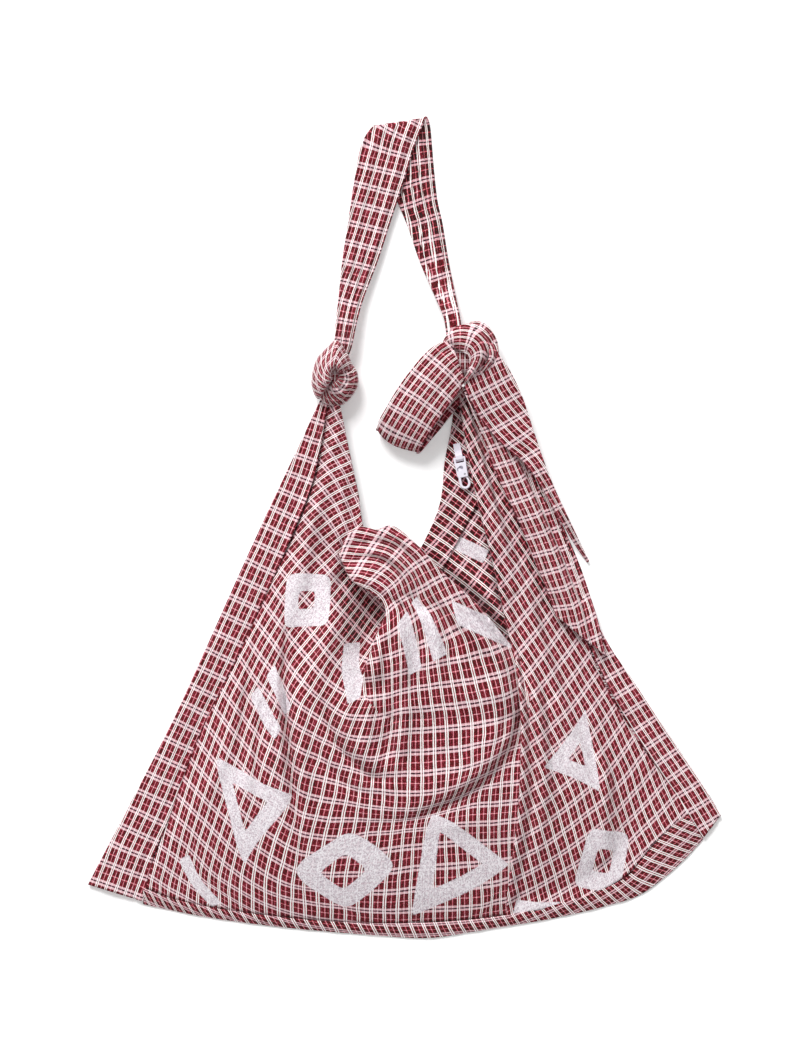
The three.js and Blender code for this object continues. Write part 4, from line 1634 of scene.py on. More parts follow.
def seam_rise(x: Array, y: Array) -> Array:
    """How far a gathered seam lifts off the back beside the knots.

    Args:
        x: places across.
        y: places up the plan.

    Returns:
        The lift.
    """
    knots = (LEFT_KNOT, RIGHT_KNOT)
    near = np.minimum(*(np.hypot(x - knot[0], y - knot[1]) for knot in knots))
    share = np.clip(1 - (near - 30) / 90, 0, 1)
    return 9 * share * share


def middle_first(x: Array, y: Array) -> Array:
    """Says how firmly the pouch's thread directions hold: most of all in its smooth middle.

    Args:
        x: places across.
        y: places up the plan.

    Returns:
        The firmness at each place.
    """
    return 1 + 5 * ease((x + 95) / 60) * ease((-120 - y) / 50)


def while_seen(x: Array, y: Array) -> Array:
    """Says how firmly the base cloth's thread directions hold: hardly at all under the pouch.

    Args:
        x: places across.
        y: places up the plan.

    Returns:
        The firmness at each place.
    """
    edge = np.interp(y, [place[1] for place in POUCH_LEFT], [place[0] for place in POUCH_LEFT])
    return 1 - 0.97 * ease((x - edge - 8) / 12) * ease((y + 182) / 12)


def gathers(x: Array, y: Array, knot: Place3, pleats: float, height: float, reach: float) -> Array:
    """Pleats that spread out of a knot.

    Args:
        x: places across.
        y: places up the plan.
        knot: the knot's centre.
        pleats: pleats in a whole turn.
        height: their height beside the knot.
        reach: how far they run.

    Returns:
        The added height.
    """
    dx, dy = x - knot[0], y - knot[1]
    fade = np.exp(-((np.hypot(dx, dy) / reach) ** 1.5))
    wander = wrinkle(x, y, 70.0, 3.0) * 0.22
    return height * fade * np.sin(pleats * (np.arctan2(dy, dx) + wander))


# Thread directions of each layer, at places on the plan

FRONT_THREADS = thread_table(
    (-70.5, 102.5, 30, -66, 10, 13), (-60.5, 87.5, 22, -72, 10, 11), (-64.5, 62.5, 24, -68, 10.5, 14),
    (-52.5, 47.5, 18, -76, 10, 9.5), (-59.5, 27.5, 24, -72, 10.5, 12), (-47.5, 7.5, 20, -77, 10, 9.5),
    (-54.5, -17.5, 28, -70, 10, 12), (-46.5, -32.5, 38, -60, 10, 14), (-84.5, 57.5, 38, -42, 10.7, 19.6),
    (-78.5, 27.5, 34, -50, 10.7, 19.6), (-98.5, 17.5, 46, -44, 11, 19), (-74.5, -12.5, 36, -56, 11, 18),
    (-104.5, -17.5, 51, -44, 11, 18), (-84.5, -32.5, 43, -51, 11, 18), (-59.5, -52.5, 50, -50, 9.5, 18),
    (-94.5, -72.5, 45, -50, 11, 20), (-59.5, -87.5, 50, -48, 9.5, 17), (-94.5, -122.5, 49, -46, 11, 20),
    (-59.5, -122.5, 50, -46, 10, 18), (-94.5, -157.5, 56, -46, 11.5, 19), (-69.5, -172.5, 60, -34, 11, 20),
    (-94.5, -192.5, 72, -28, 11, 21), (-68.5, -207.5, 74, -22, 11, 18), (-94.5, -227.5, 80, -22, 11, 21),
    (-59.5, -237.5, 82, -14, 11, 18), (-94.5, -262.5, 85, -18, 12, 20), (-59.5, -262.5, 88, -10, 12, 18),
    (-94.5, -297.5, 83, -17, 11, 18), (-59.5, -297.5, 87, -2, 12, 20), (-94.5, -332.5, 85, -12, 12, 19),
    (-59.5, -332.5, 85, -3, 13, 18), (-94.5, -372.5, 92, -12, 12, 15), (-59.5, -377.5, 92, -9, 12, 15),
    (-129.5, -52.5, 60, -50, 9.5, 17), (-129.5, -87.5, 61, -47, 8.5, 18), (-129.5, -122.5, 61, -45, 8.5, 20),
    (-164.5, -157.5, 58, -51, 8.5, 18), (-134.5, -162.5, 64, -42, 9, 19), (-164.5, -192.5, 64, -52, 8.5, 17),
    (-129.5, -227.5, 67, -32, 10.5, 21), (-199.5, -227.5, 65, -53, 8, 17), (-164.5, -227.5, 68, -45, 9, 18),
    (-199.5, -262.5, 68, -50, 8.5, 17), (-164.5, -272.5, 67, -50, 9, 16), (-199.5, -297.5, 69, -50, 8.5, 16),
    (-164.5, -297.5, 70, -52, 8.5, 16), (-129.5, -297.5, 64, -48, 10, 18), (-234.5, -332.5, 74, -30, 9, 15),
    (-199.5, -332.5, 72, -48, 8.5, 15), (-164.5, -332.5, 75, -43, 9, 16), (-129.5, -332.5, 70, -44, 11, 18),
    (-244.5, -367.5, 80, -20, 10, 17), (-199.5, -367.5, 82, -24, 11, 12), (-159.5, -372.5, 84, -28, 12, 12),
    (-129.5, -377.5, 88, -22, 12, 13), (-24.5, -332.5, 88, 2, 13, 21), (10.5, -332.5, 90, 4, 11, 20),
    (45.5, -332.5, 90, 3, 11, 21), (80.5, -332.5, 94, 6, 10, 21), (-24.5, -377.5, 90, -4, 12, 20),
    (10.5, -367.5, 92, 4, 12, 21), (45.5, -367.5, 92, 4, 12, 21), (105.5, -372.5, 97, 12, 10, 21),
    (-39.5, -157.5, 84, 4, 10, 19), (-19.5, -157.5, 90, 14, 11, 20), (10.5, -157.5, 92, 11, 9, 19),
    (45.5, -157.5, 99, 6, 11, 21), (80.5, -157.5, 104, 10, 12, 21), (110.5, -162.5, 99, 16, 9, 20),
    (-42.5, -192.5, 86, 10, 10, 18), (-19.5, -192.5, 84, 22, 10, 17), (10.5, -192.5, 98, 8, 12, 22),
    (45.5, -192.5, 101, 8, 12, 21), (80.5, -192.5, 97, 13, 11, 21), (107.5, -197.5, 82, 22, 8, 17),
    (-42.5, -227.5, 84, -8, 10, 16), (-19.5, -227.5, 80, 14, 10, 16), (10.5, -227.5, 100, 6, 12, 21),
    (45.5, -227.5, 98, 6, 12, 21), (75.5, -222.5, 98, 12, 11, 20), (95.5, -224.5, 66, 24, 7.5, 12),
    (-24.5, -264.5, 96, 2, 12, 18), (10.5, -262.5, 98, 5, 12, 20), (40.5, -252.5, 98, 8, 11.5, 20),
    (65.5, -254.5, 66, 20, 8, 12), (35.5, -276.5, 74, 14, 9, 11), (0.5, -287.5, 88, 4, 11, 10),
    (-34.5, -291.5, 92, -2, 12, 11), (95.5, -262.5, 90, 6, 10.5, 20), (113.5, -237.5, 92, 10, 10, 20),
    (75.5, -287.5, 90, 4, 11, 20),
)
POUCH_THREADS = thread_table(
    (-56.5, -28.5, 194, 104, 10, 19), (-52.5, -42.5, 193, 103, 9, 19), (-42.5, -17.5, 190, 100, 11, 19),
    (-26.5, -24.5, 178, 88, 10, 19), (-36.5, -54.5, 160, 70, 9, 18), (-9.5, -17.5, 163, 73, 11, 18),
    (-9.5, -42.5, 148, 55, 9, 17), (5.5, -30.5, 140, 50, 10, 18), (-4.5, -62.5, 118, 28, 8, 18),
    (17.5, -44.5, 122, 30, 9, 20), (13.5, -62.5, 104, 12, 8, 20), (35.5, -62.5, 119, 14, 9, 19),
    (45.5, -72.5, 121, 12, 9.5, 18), (-4.5, -102.5, 96, 10, 11, 20), (20.5, -112.5, 96, 10, 10, 22),
    (45.5, -102.5, 114, 14, 11, 20), (70.5, -97.5, 121, 10, 10, 19), (95.5, -117.5, 118, 10, 10, 19),
    (-24.5, -122.5, 99, 4, 12, 22), (10.5, -127.5, 92, 12, 9, 22), (45.5, -127.5, 96, 5, 10, 19),
    (80.5, -132.5, 110, 8, 11, 20), (-39.5, -157.5, 94, 16, 11, 20), (-19.5, -157.5, 92, 14, 11, 21),
    (0.5, -157.5, 88, 18, 8.5, 18), (25.5, -157.5, 96, 8, 11, 20), (50.5, -157.5, 100, 6, 11, 21),
    (80.5, -157.5, 105, 10, 12, 21), (110.5, -157.5, 101, 18, 9, 21), (-44.5, -192.5, 88, 16, 10.7, 19),
    (-19.5, -192.5, 90, 20, 11, 18), (10.5, -192.5, 98, 8, 12, 22), (45.5, -192.5, 101, 8, 12, 21),
    (80.5, -192.5, 99, 13, 11, 21), (110.5, -197.5, 94, 22, 9.5, 19), (-49.5, -227.5, 86, 4, 11, 20),
    (-24.5, -227.5, 90, 18, 10, 18), (10.5, -227.5, 100, 6, 12, 21), (45.5, -227.5, 98, 6, 12, 21),
    (80.5, -227.5, 93, 16, 10, 19), (110.5, -227.5, 89, 16, 9, 20), (-49.5, -262.5, 92, -6, 12, 18),
    (-24.5, -262.5, 97, 3, 12, 17), (10.5, -262.5, 98, 5, 12, 21), (45.5, -262.5, 96, 8, 12, 21),
    (80.5, -262.5, 88, 4, 10, 20),
)
RIGHT_THREADS = thread_table(
    (65.5, 127.5, 118, 44, 7, 18), (80.5, 87.5, 116, 38, 7, 20), (80.5, 52.5, 123, 50, 8, 18),
    (83.5, 17.5, 129, 60, 9, 16), (95.5, -17.5, 128, 55, 9, 17), (100.5, -52.5, 128, 46, 10, 18),
    (120.5, -17.5, 127, 57, 8, 17), (120.5, -52.5, 125, 55, 7.5, 18), (115.5, -87.5, 124, 51, 8, 20),
    (145.5, -87.5, 123, 50, 8.5, 18), (115.5, -122.5, 125, 49, 9, 23), (150.5, -122.5, 124, 50, 8, 18),
    (150.5, -157.5, 121, 51, 9, 18), (185.5, -162.5, 122, 55, 9, 16), (125.5, -182.5, 119, 47, 9, 18),
    (150.5, -192.5, 117, 48, 10, 17), (185.5, -192.5, 117, 52, 10, 16), (220.5, -192.5, 120, 54, 7, 15),
    (125.5, -227.5, 115, 42, 9, 18), (150.5, -227.5, 116, 42, 10, 19), (185.5, -232.5, 118, 46, 9, 18),
    (220.5, -227.5, 124, 52, 9, 17), (120.5, -262.5, 104, 38, 8, 16), (150.5, -262.5, 113, 42, 11, 19),
    (185.5, -262.5, 106, 38, 9, 18), (220.5, -262.5, 111, 42, 9, 17), (255.5, -272.5, 121, 43, 9.5, 16),
    (120.5, -302.5, 98, 24, 9, 19), (150.5, -297.5, 101, 32, 10, 18), (185.5, -297.5, 106, 32, 9, 18),
    (220.5, -297.5, 110, 38, 8, 15), (255.5, -302.5, 124, 38, 10, 18), (150.5, -332.5, 102, 28, 11, 16),
    (185.5, -332.5, 108, 32, 10, 18), (220.5, -332.5, 108, 34, 10, 17), (255.5, -332.5, 124, 39, 10, 18),
    (120.5, -367.5, 97, 20, 9.5, 19), (150.5, -367.5, 99, 24, 11, 17), (185.5, -367.5, 108, 26, 10, 16),
)
INSIDE_THREADS = thread_table(
    (50.5, 97.5, 150, 66, 9, 17), (45.5, 27.5, 151, 68, 9.5, 17), (45.5, -17.5, 148, 62, 10, 17),
    (68.5, 22.5, 149, 64, 10, 16), (90.5, -72.5, 146, 60, 10, 17), (15.5, -72.5, 146, 60, 11, 18),
    (-44.5, 57.5, 96, 6, 11, 20), (-104.5, -272.5, 90, 0, 12, 21), (155.5, -272.5, 110, 20, 12, 21),
)

# Shapes of the print on each layer

PRINT_MARKS = [
    PrintMark(Motif.SQUARE_FRAME, -98.5, -72.5, 31, 42),
    PrintMark(Motif.DOUBLE_BAR, -134.5, -174.5, 26, 75),
    PrintMark(Motif.BAR, -52.5, -144.5, 30, 40),
    PrintMark(Motif.TRIANGLE_FRAME, -158.5, -278.5, 50, 195),
    PrintMark(Motif.SQUARE_FRAME, -60.5, -344.5, 36, 48),
    PrintMark(Motif.TRIANGLE_FRAME, 47.5, -334.5, 54, 262),
    PrintMark(Motif.BAR, -208.5, -356.5, 27, 55),
    PrintMark(Motif.BAR, 27.5, -404.5, 22, 85),
]
POUCH_MARKS = [
    PrintMark(Motif.DOUBLE_BAR, 14.5, -112.5, 27, 15),
    PrintMark(Motif.BAR, 83.5, -98.5, 27, 62),
]
RIGHT_MARKS = [
    PrintMark(Motif.TRIANGLE_FRAME, 173.5, -228.5, 39, 190),
    PrintMark(Motif.SQUARE_FRAME, 199.5, -334.5, 33, 50),
    PrintMark(Motif.BAR, 131.5, -384.5, 26, 60),
]
INSIDE_MARKS = [PrintMark(Motif.BAR, 63.5, -20.5, 22, 10)]

# Parts of the front darkened with the inside finish as painted shade: the hollow beside the cowl, the right
# layer's rolled edge, and the gap beside the wide tail

TURNED_WITH_PAINTED_SHADE = {
    "front_base_cloth": [
        [
            (-62.5, -34.5), (-48.5, -44.5), (-32.5, -58.5), (-12.5, -72.5), (-18.5, -84.5), (-33.5, -106.5),
            (-49.5, -114.5), (-60.5, -106.5), (-64.5, -72.5),
        ],
    ],
    "front_right_cloth": [
        [
            (50.5, 127.5), (59.5, 84.5), (62.5, 42.5), (68.5, 7.5), (84.5, -32.5), (95.5, -72.5),
            (103.5, -72.5), (96.5, -32.5), (83.5, 7.5), (76.5, 42.5), (73.5, 84.5), (63.5, 127.5),
        ],
        [
            (83.0, 66.5), (90.0, 44.5), (97.0, 22.5), (107.0, -5.5), (119.0, -35.5), (133.0, -63.5),
            (149.0, -90.5), (158.0, -88.5), (149.0, -62.5), (137.0, -32.5), (122.0, 5.5), (110.0, 30.5),
            (98.0, 60.5),
        ],
    ],
}

# Folds of each layer

INSIDE_FOLDS = [
    ridge(12, 10, (23.5, -12.5), (50.5, -39.5), (84.5, -72.5), (116.5, -111.5), (140.5, -137.5), ends=0.1),
    ridge(8, 8, (65.5, 8.5), (80.5, -29.5), (88.5, -69.5), (96.5, -104.5), ends=0.15),
]
FRONT_FOLDS = [
    ridge(-8, 11, (115.5, -112.5), (117.5, -162.5), (116.5, -207.5), (107.5, -237.5)),
    ridge(-25, 22, (-64.5, -36.5), (-46.5, -62.5), (-32.5, -98.5), (-40.5, -140.5)),
    crease(-5, 6, (-70.5, -32.5), (-54.5, -38.5), (-38.5, -52.5)),
    ridge(5, 8, (-63.5, 57.5), (-60.5, 17.5), (-64.5, -17.5), (-68.5, -42.5), ends=0.4),
    crease(-4, 4, (-68.5, -7.5), (-58.5, -28.5), (-48.5, -44.5)),
    ridge(5, 11, (-71.5, 102.5), (-86.5, 27.5), (-104.5, -42.5), (-119.5, -112.5)),
    ridge(-5, 6, (-76.5, 97.5), (-98.5, 27.5), (-124.5, -52.5)),
    ridge(5, 12, (-74.5, -47.5), (-78.5, -112.5), (-88.5, -162.5)),
    crease(
        -8, 3.0, (-119.5, -104.5), (-120.5, -162.5), (-114.5, -232.5), (-107.5, -292.5), (-103.5, -362.5),
        ends=0.4,
    ),
    ridge(6, 6, (-127.5, -112.5), (-128.5, -172.5), (-123.5, -242.5), (-115.5, -312.5)),
    ridge(5, 7, (-107.5, -162.5), (-101.5, -232.5), (-95.5, -302.5)),
    crease(
        -7, 3.4, (-82.5, -172.5), (-70.5, -210.5), (-54.5, -232.5), (-32.5, -249.5), (-10.5, -250.5),
        ends=0.25,
    ),
    ridge(5, 8, (-66.5, -162.5), (-52.5, -207.5), (-32.5, -234.5), (-14.5, -236.5)),
    crease(-4, 4, (-99.5, -184.5), (-79.5, -234.5), (-49.5, -262.5), (-9.5, -268.5)),
    crease(-5, 5, (-9.5, -162.5), (-14.5, -202.5), (-22.5, -244.5)),
    ridge(4, 8, (-0.5, -162.5), (-2.5, -202.5), (-8.5, -252.5)),
    ridge(3, 6, (-34.5, -162.5), (-36.5, -192.5), (-34.5, -222.5)),
    lap(
        9, 20, (-14.5, -290.5), (12.5, -286.5), (36.5, -274.5), (62.5, -258.5), (86.5, -238.5),
        (103.5, -213.5), (116.5, -178.5), ends=0.12,
    ),
    crease(
        -4, 4, (-32.5, -294.5), (3.5, -291.5), (33.5, -280.5), (63.5, -265.5), (89.5, -245.5),
        (107.5, -220.5), ends=0.2,
    ),
    ridge(-3, 5, (95.5, -172.5), (100.5, -197.5), (89.5, -224.5)),
    ridge(4, 9, (-154.5, -112.5), (-176.5, -202.5), (-208.5, -302.5), (-244.5, -362.5)),
    ridge(-4, 5, (-142.5, -72.5), (-158.5, -162.5), (-166.5, -262.5)),
    ridge(3, 7, (-149.5, -172.5), (-156.5, -252.5), (-168.5, -332.5)),
    crease(-4, 3, (-142.5, -172.5), (-148.5, -232.5), (-146.5, -272.5)),
    ridge(3, 9, (-229.5, -272.5), (-234.5, -322.5), (-214.5, -372.5)),
    crease(-3, 5, (-214.5, -302.5), (-206.5, -342.5), (-172.5, -377.5)),
    crease(-5, 3.5, (-199.5, -352.5), (-164.5, -380.5), (-104.5, -394.5), (-44.5, -398.5)),
    crease(-3, 3, (-214.5, -372.5), (-154.5, -397.5), (-84.5, -405.5)),
    crease(-4, 3, (-254.5, -352.5), (-239.5, -367.5), (-234.5, -384.5)),
    crease(-4, 3.5, (-74.5, -372.5), (-39.5, -390.5), (5.5, -397.5)),
    ridge(3, 12, (25.5, -302.5), (65.5, -294.5), (105.5, -302.5)),
    crease(-5, 4, (103.5, -322.5), (97.5, -357.5), (75.5, -387.5), (35.5, -404.5)),
    ridge(4, 6, (111.5, -332.5), (107.5, -367.5), (95.5, -397.5)),
    crease(-3, 5, (-4.5, -397.5), (45.5, -387.5), (95.5, -372.5)),
]
POUCH_FOLDS = [
    ridge(-8, 11, (111.5, -112.5), (115.5, -162.5), (115.5, -212.5), ends=0.6),
    ridge(4, 6, (-64.5, -38.5), (-42.5, -49.5), (-20.5, -64.5)),
    crease(-4.5, 3.5, (-59.5, -20.5), (-32.5, -16.5), (-6.5, -25.5), (11.5, -52.5), (15.5, -76.5)),
    crease(-4, 3.5, (-52.5, -32.5), (-28.5, -30.5), (-8.5, -44.5), (-0.5, -66.5)),
    ridge(4, 6, (-52.5, -8.5), (-20.5, -8.5), (7.5, -20.5), (31.5, -54.5)),
    ridge(4, 5, (-54.5, -25.5), (-28.5, -23.5), (-6.5, -34.5), (5.5, -62.5)),
    crease(-4, 3, (-20.5, -6.5), (-6.5, -14.5), (1.5, -28.5)),
    crease(-6, 3.5, (-16.5, -70.5), (-2.5, -78.5), (9.5, -94.5), (17.5, -122.5), ends=0.3),
    crease(-5, 3.5, (-6.5, -64.5), (9.5, -74.5), (35.5, -84.5)),
    ridge(5, 7, (-10.5, -84.5), (-2.5, -122.5), (-2.5, -162.5)),
    ridge(4, 5, (-20.5, -102.5), (-26.5, -132.5), (-30.5, -172.5)),
    crease(-5, 3.5, (25.5, -68.5), (41.5, -96.5), (51.5, -132.5)),
    ridge(4, 7, (31.5, -58.5), (57.5, -94.5), (95.5, -134.5)),
    crease(-3, 4, (45.5, -62.5), (79.5, -100.5), (115.5, -140.5)),
    ridge(3, 6, (21.5, -84.5), (31.5, -112.5), (35.5, -152.5)),
]
RIGHT_FOLDS = [
    ridge(
        -6, 5, (84.5, 66.5), (93.5, 43.5), (103.5, 19.5), (114.5, -6.5), (127.5, -36.5), (141.5, -65.5),
        (153.5, -90.5), ends=0.5,
    ),
    crease(
        -5, 3, (173.5, -92.5), (189.5, -120.5), (203.5, -152.5), (217.5, -190.5), (245.5, -234.5), ends=0.4,
    ),
    ridge(
        5, 4, (58.5, 132.5), (64.5, 109.5), (73.5, 82.5), (82.5, 47.5), (95.5, -2.5), (109.5, -62.5),
        ends=0.5,
    ),
    crease(
        -6, 2.6, (60.5, 134.5), (69.5, 112.5), (79.5, 84.5), (89.5, 52.5), (103.5, 7.5), (121.5, -52.5),
        ends=0.5,
    ),
    ridge(
        6, 4, (64.5, 135.5), (75.5, 107.5), (85.5, 81.5), (97.5, 45.5), (115.5, -7.5), (137.5, -72.5),
        ends=0.5,
    ),
    crease(
        -5, 3, (69.5, 135.5), (81.5, 107.5), (93.5, 77.5), (107.5, 37.5), (127.5, -17.5), (151.5, -82.5),
        ends=0.5,
    ),
    ridge(4, 8, (100.5, 7.5), (119.5, -57.5), (147.5, -152.5), (195.5, -272.5), ends=0.3),
    crease(-5, 4, (125.5, -47.5), (151.5, -122.5), (195.5, -212.5), (245.5, -322.5), ends=0.3),
    crease(
        -5, 3.5, (105.5, -72.5), (115.5, -132.5), (125.5, -192.5), (129.5, -262.5), (123.5, -332.5), ends=0.3,
    ),
    ridge(5, 7, (119.5, -112.5), (131.5, -172.5), (138.5, -252.5), (133.5, -322.5)),
    crease(-5, 4, (140.5, -162.5), (151.5, -222.5), (161.5, -302.5), (161.5, -362.5), ends=0.3),
    crease(-5, 4, (175.5, -112.5), (201.5, -172.5), (235.5, -242.5), ends=0.3),
    ridge(5, 8, (183.5, -172.5), (199.5, -232.5), (201.5, -332.5)),
    ridge(-4, 5, (215.5, -232.5), (235.5, -292.5), (245.5, -342.5)),
    crease(-4, 4, (115.5, -342.5), (109.5, -372.5), (101.5, -392.5)),
    crease(-4, 4, (185.5, -362.5), (215.5, -332.5), (265.5, -302.5)),
]

# Edges of the strap, the bow, the tails and the turns of the knots

STRAP_LEFT = [
    (-70, 167, 14), (-70.5, 178, 21.5), (-69, 205, 19), (-66.5, 227.5, 14), (-62.5, 267.5, 10.5),
    (-56.5, 307.5, 9.5), (-50.5, 347.5, 9.5), (-43, 385, 9.5), (-35, 399, 8.8), (-30, 403.5, 6),
    (-30, 398, 3.2), (-22, 362.5, 2.6), (-6, 327.5, 2.4), (2.5, 307.5, 2.6), (16.5, 267.5, 4),
    (32.5, 230, 10), (40.5, 210, 19), (43.5, 190, 21.5),
]
STRAP_RIGHT = [
    (-59, 167, 14), (-53.5, 178, 21.5), (-47.5, 205, 19), (-41.5, 227.5, 14), (-26.5, 267.5, 10.5),
    (-13.5, 307.5, 9.5), (-0.5, 347.5, 9.5), (10, 382, 9.5), (18, 403, 8.8), (21.5, 411.5, 6), (24, 405, 3.2),
    (28, 362.5, 2.6), (32, 327.5, 2.4), (36.5, 307.5, 2.6), (43, 267.5, 4), (50.5, 230, 10), (54.5, 210, 19),
    (57, 190, 21.5),
]
BOW_LEFT = [
    (46.5, 185.5, 31), (35.5, 184.5, 33), (22.5, 175.5, 34), (7.5, 158.5, 34), (-6.5, 139.5, 32),
    (-18.5, 119.5, 29), (-25.5, 107.5, 25), (-28.5, 98.5, 17), (-25.5, 98.5, 8), (-16.5, 112.5, 5.6),
    (-2.5, 135.5, 6), (13.5, 155.5, 7), (31.5, 171.5, 9.5), (44.5, 180.5, 18),
]
BOW_RIGHT = [
    (59.5, 149.5, 31), (56.5, 139.5, 33), (47.5, 125.5, 34), (36.5, 110.5, 34), (27.5, 97.5, 31),
    (22.5, 89.5, 27), (17.5, 81.5, 23), (13.5, 74.5, 15), (16.5, 77.5, 7), (24.5, 87.5, 5.6),
    (36.5, 101.5, 6.5), (48.5, 116.5, 7.5), (57.5, 128.5, 10), (61.5, 139.5, 18),
]
WIDE_LEFT = [
    (59.5, 135.5), (65.5, 119.5), (75.5, 97.5), (83.5, 75.5), (92.5, 52.5), (102.5, 30.5), (114.5, 5.5),
    (129.5, -32.5), (142.5, -62.5), (151.5, -88.5),
]
WIDE_RIGHT = [
    (87.5, 137.5), (105.5, 107.5), (125.5, 72.5), (143.5, 37.5), (157.5, 5.5), (172.5, -28.5), (181.5, -52.5),
    (189.5, -78.5), (197.5, -106.5), (201.5, -128.5),
]
POINTED_LEFT = [
    (58.5, 143.5), (69.5, 119.5), (84.5, 97.5), (100.5, 80.5), (115.5, 68.5), (126.5, 57.5), (136.5, 40.5),
    (151.5, 15.5), (167.5, -12.5), (183.5, -35.5),
]
POINTED_RIGHT = [
    (92.5, 176.5), (100.5, 167.5), (109.5, 147.5), (118.5, 129.5), (126.5, 105.5), (136.5, 75.5),
    (147.5, 45.5), (160.5, 17.5), (173.5, -9.5), (185.5, -33.5),
]
BIG_OUTLINE = [
    (-50.5, 158.5), (-57.5, 175.5), (-67.5, 188.5), (-77.5, 180.5), (-87.5, 169.5), (-92.5, 153.5),
    (-92.5, 139.5), (-86.5, 128.5), (-79.5, 135.5),
]
SMALL_OUTLINE = [
    (-54.5, 166.5), (-47.5, 156.5), (-46.5, 142.5), (-52.5, 131.5), (-60.5, 123.5), (-70.5, 121.5),
    (-79.5, 124.0), (-85.0, 131.0),
]
TURN_LEFT = [
    (36.5, 181.5, 14), (41.5, 191.5, 24), (50.5, 199.5, 28), (61.5, 203.5, 29), (74.5, 201.5, 29),
    (83.5, 193.5, 28), (87.5, 182.5, 28), (84.5, 170.5, 29), (77.5, 159.5, 29), (68.5, 148.5, 28),
    (59.5, 139.5, 24),
]
TURN_RIGHT = [
    (39.5, 177.5, 16), (44.5, 180.5, 28), (51.5, 178.5, 35), (58.5, 174.5, 37), (62.5, 170.5, 38),
    (64.5, 166.5, 38), (64.5, 162.5, 38), (63.5, 157.5, 37), (61.5, 152.5, 35), (58.5, 147.5, 31),
    (56.5, 141.5, 25),
]
FLANGE_LEFT = [
    (85.5, 189.5, 22), (92.5, 181.5, 24), (93.5, 171.5, 26), (86.5, 160.5, 27), (76.5, 149.5, 26),
    (64.5, 139.5, 22),
]
FLANGE_RIGHT = [
    (79.5, 185.5, 28), (83.5, 177.5, 32), (84.5, 169.5, 34), (78.5, 159.5, 34), (69.5, 149.5, 31),
    (59.5, 140.5, 25),
]
BACK_TURN_LEFT = [
    (65.5, 206.5, 14), (75.5, 206.5, 18), (85.5, 199.5, 20), (92.5, 187.5, 20), (94.5, 175.5, 18),
]
BACK_TURN_RIGHT = [
    (61.5, 193.5, 26), (69.5, 193.5, 28), (77.5, 189.5, 28), (82.5, 182.5, 28), (84.5, 173.5, 26),
]

# The layers and sub-assemblies of the bag


@dataclass(frozen=True)
class Layer:
    """How a layer that lies on the front's base cloth is cut and folded.

    Attributes:
        bottom: its bottom edge on the plan.
        top: its top edge.
        left: its left edge.
        right: its right edge.
        spans: spans across and up.
        folds: its folds.
        rolls: roll radius of each named edge.
        seed: keeps its wrinkles apart from other layers'.
    """

    bottom: list[Place]
    top: list[Place]
    left: list[Place]
    right: list[Place]
    spans: tuple[int, int]
    folds: list[FoldLine]
    rolls: dict[str, float]
    seed: float


# The middle's upper half, whose end folds over as a cowl
POUCH = Layer(
    bottom=[(-48.5, -188.5), (-4.5, -210.5), (45.5, -214.5), (95.5, -212.5), (133.5, -210.5)],
    top=[
        (-62.5, -29.5), (-55.5, -13.5), (-42.5, -3.5), (-26.5, -6.5), (-12.5, -2.5), (14.5, -22.5),
        (40.5, -50.5), (75.5, -83.5), (107.5, -122.5), (133.5, -148.5),
    ],
    left=POUCH_LEFT,
    right=[(133.5, -210.5), (133.5, -179.5), (133.5, -148.5)],
    spans=(150, 150),
    folds=POUCH_FOLDS,
    rolls={"left": 3.0, "top": 5.0},
    seed=11.0,
)
# The right side, which laps over the pouch
RIGHT_SIDE = Layer(
    bottom=[
        (103.5, -390.5), (155.5, -379.5), (195.5, -365.5), (225.5, -346.5), (250.5, -317.5), (285.5, -287.5)
    ],
    top=[(56.5, 135.5), (70.5, 139.5), (89.5, 139.5)],
    left=RIGHT_LAP,
    right=[
        (285.5, -287.5), (232.5, -214), (195.5, -149), (174, -90), (155.5, -32.5), (120.5, 57.5),
        (89.5, 139.5),
    ],
    spans=(130, 230),
    folds=RIGHT_FOLDS,
    rolls={"left": 2.4, "right": 1.6},
    seed=17.0,
)


@dataclass(frozen=True)
class Assembly:
    """One sub-assembly of the bag.

    Attributes:
        finishes: the bag's materials.
    """

    finishes: Finishes

    def make(self) -> None:
        """Builds its pieces."""
        raise NotImplementedError


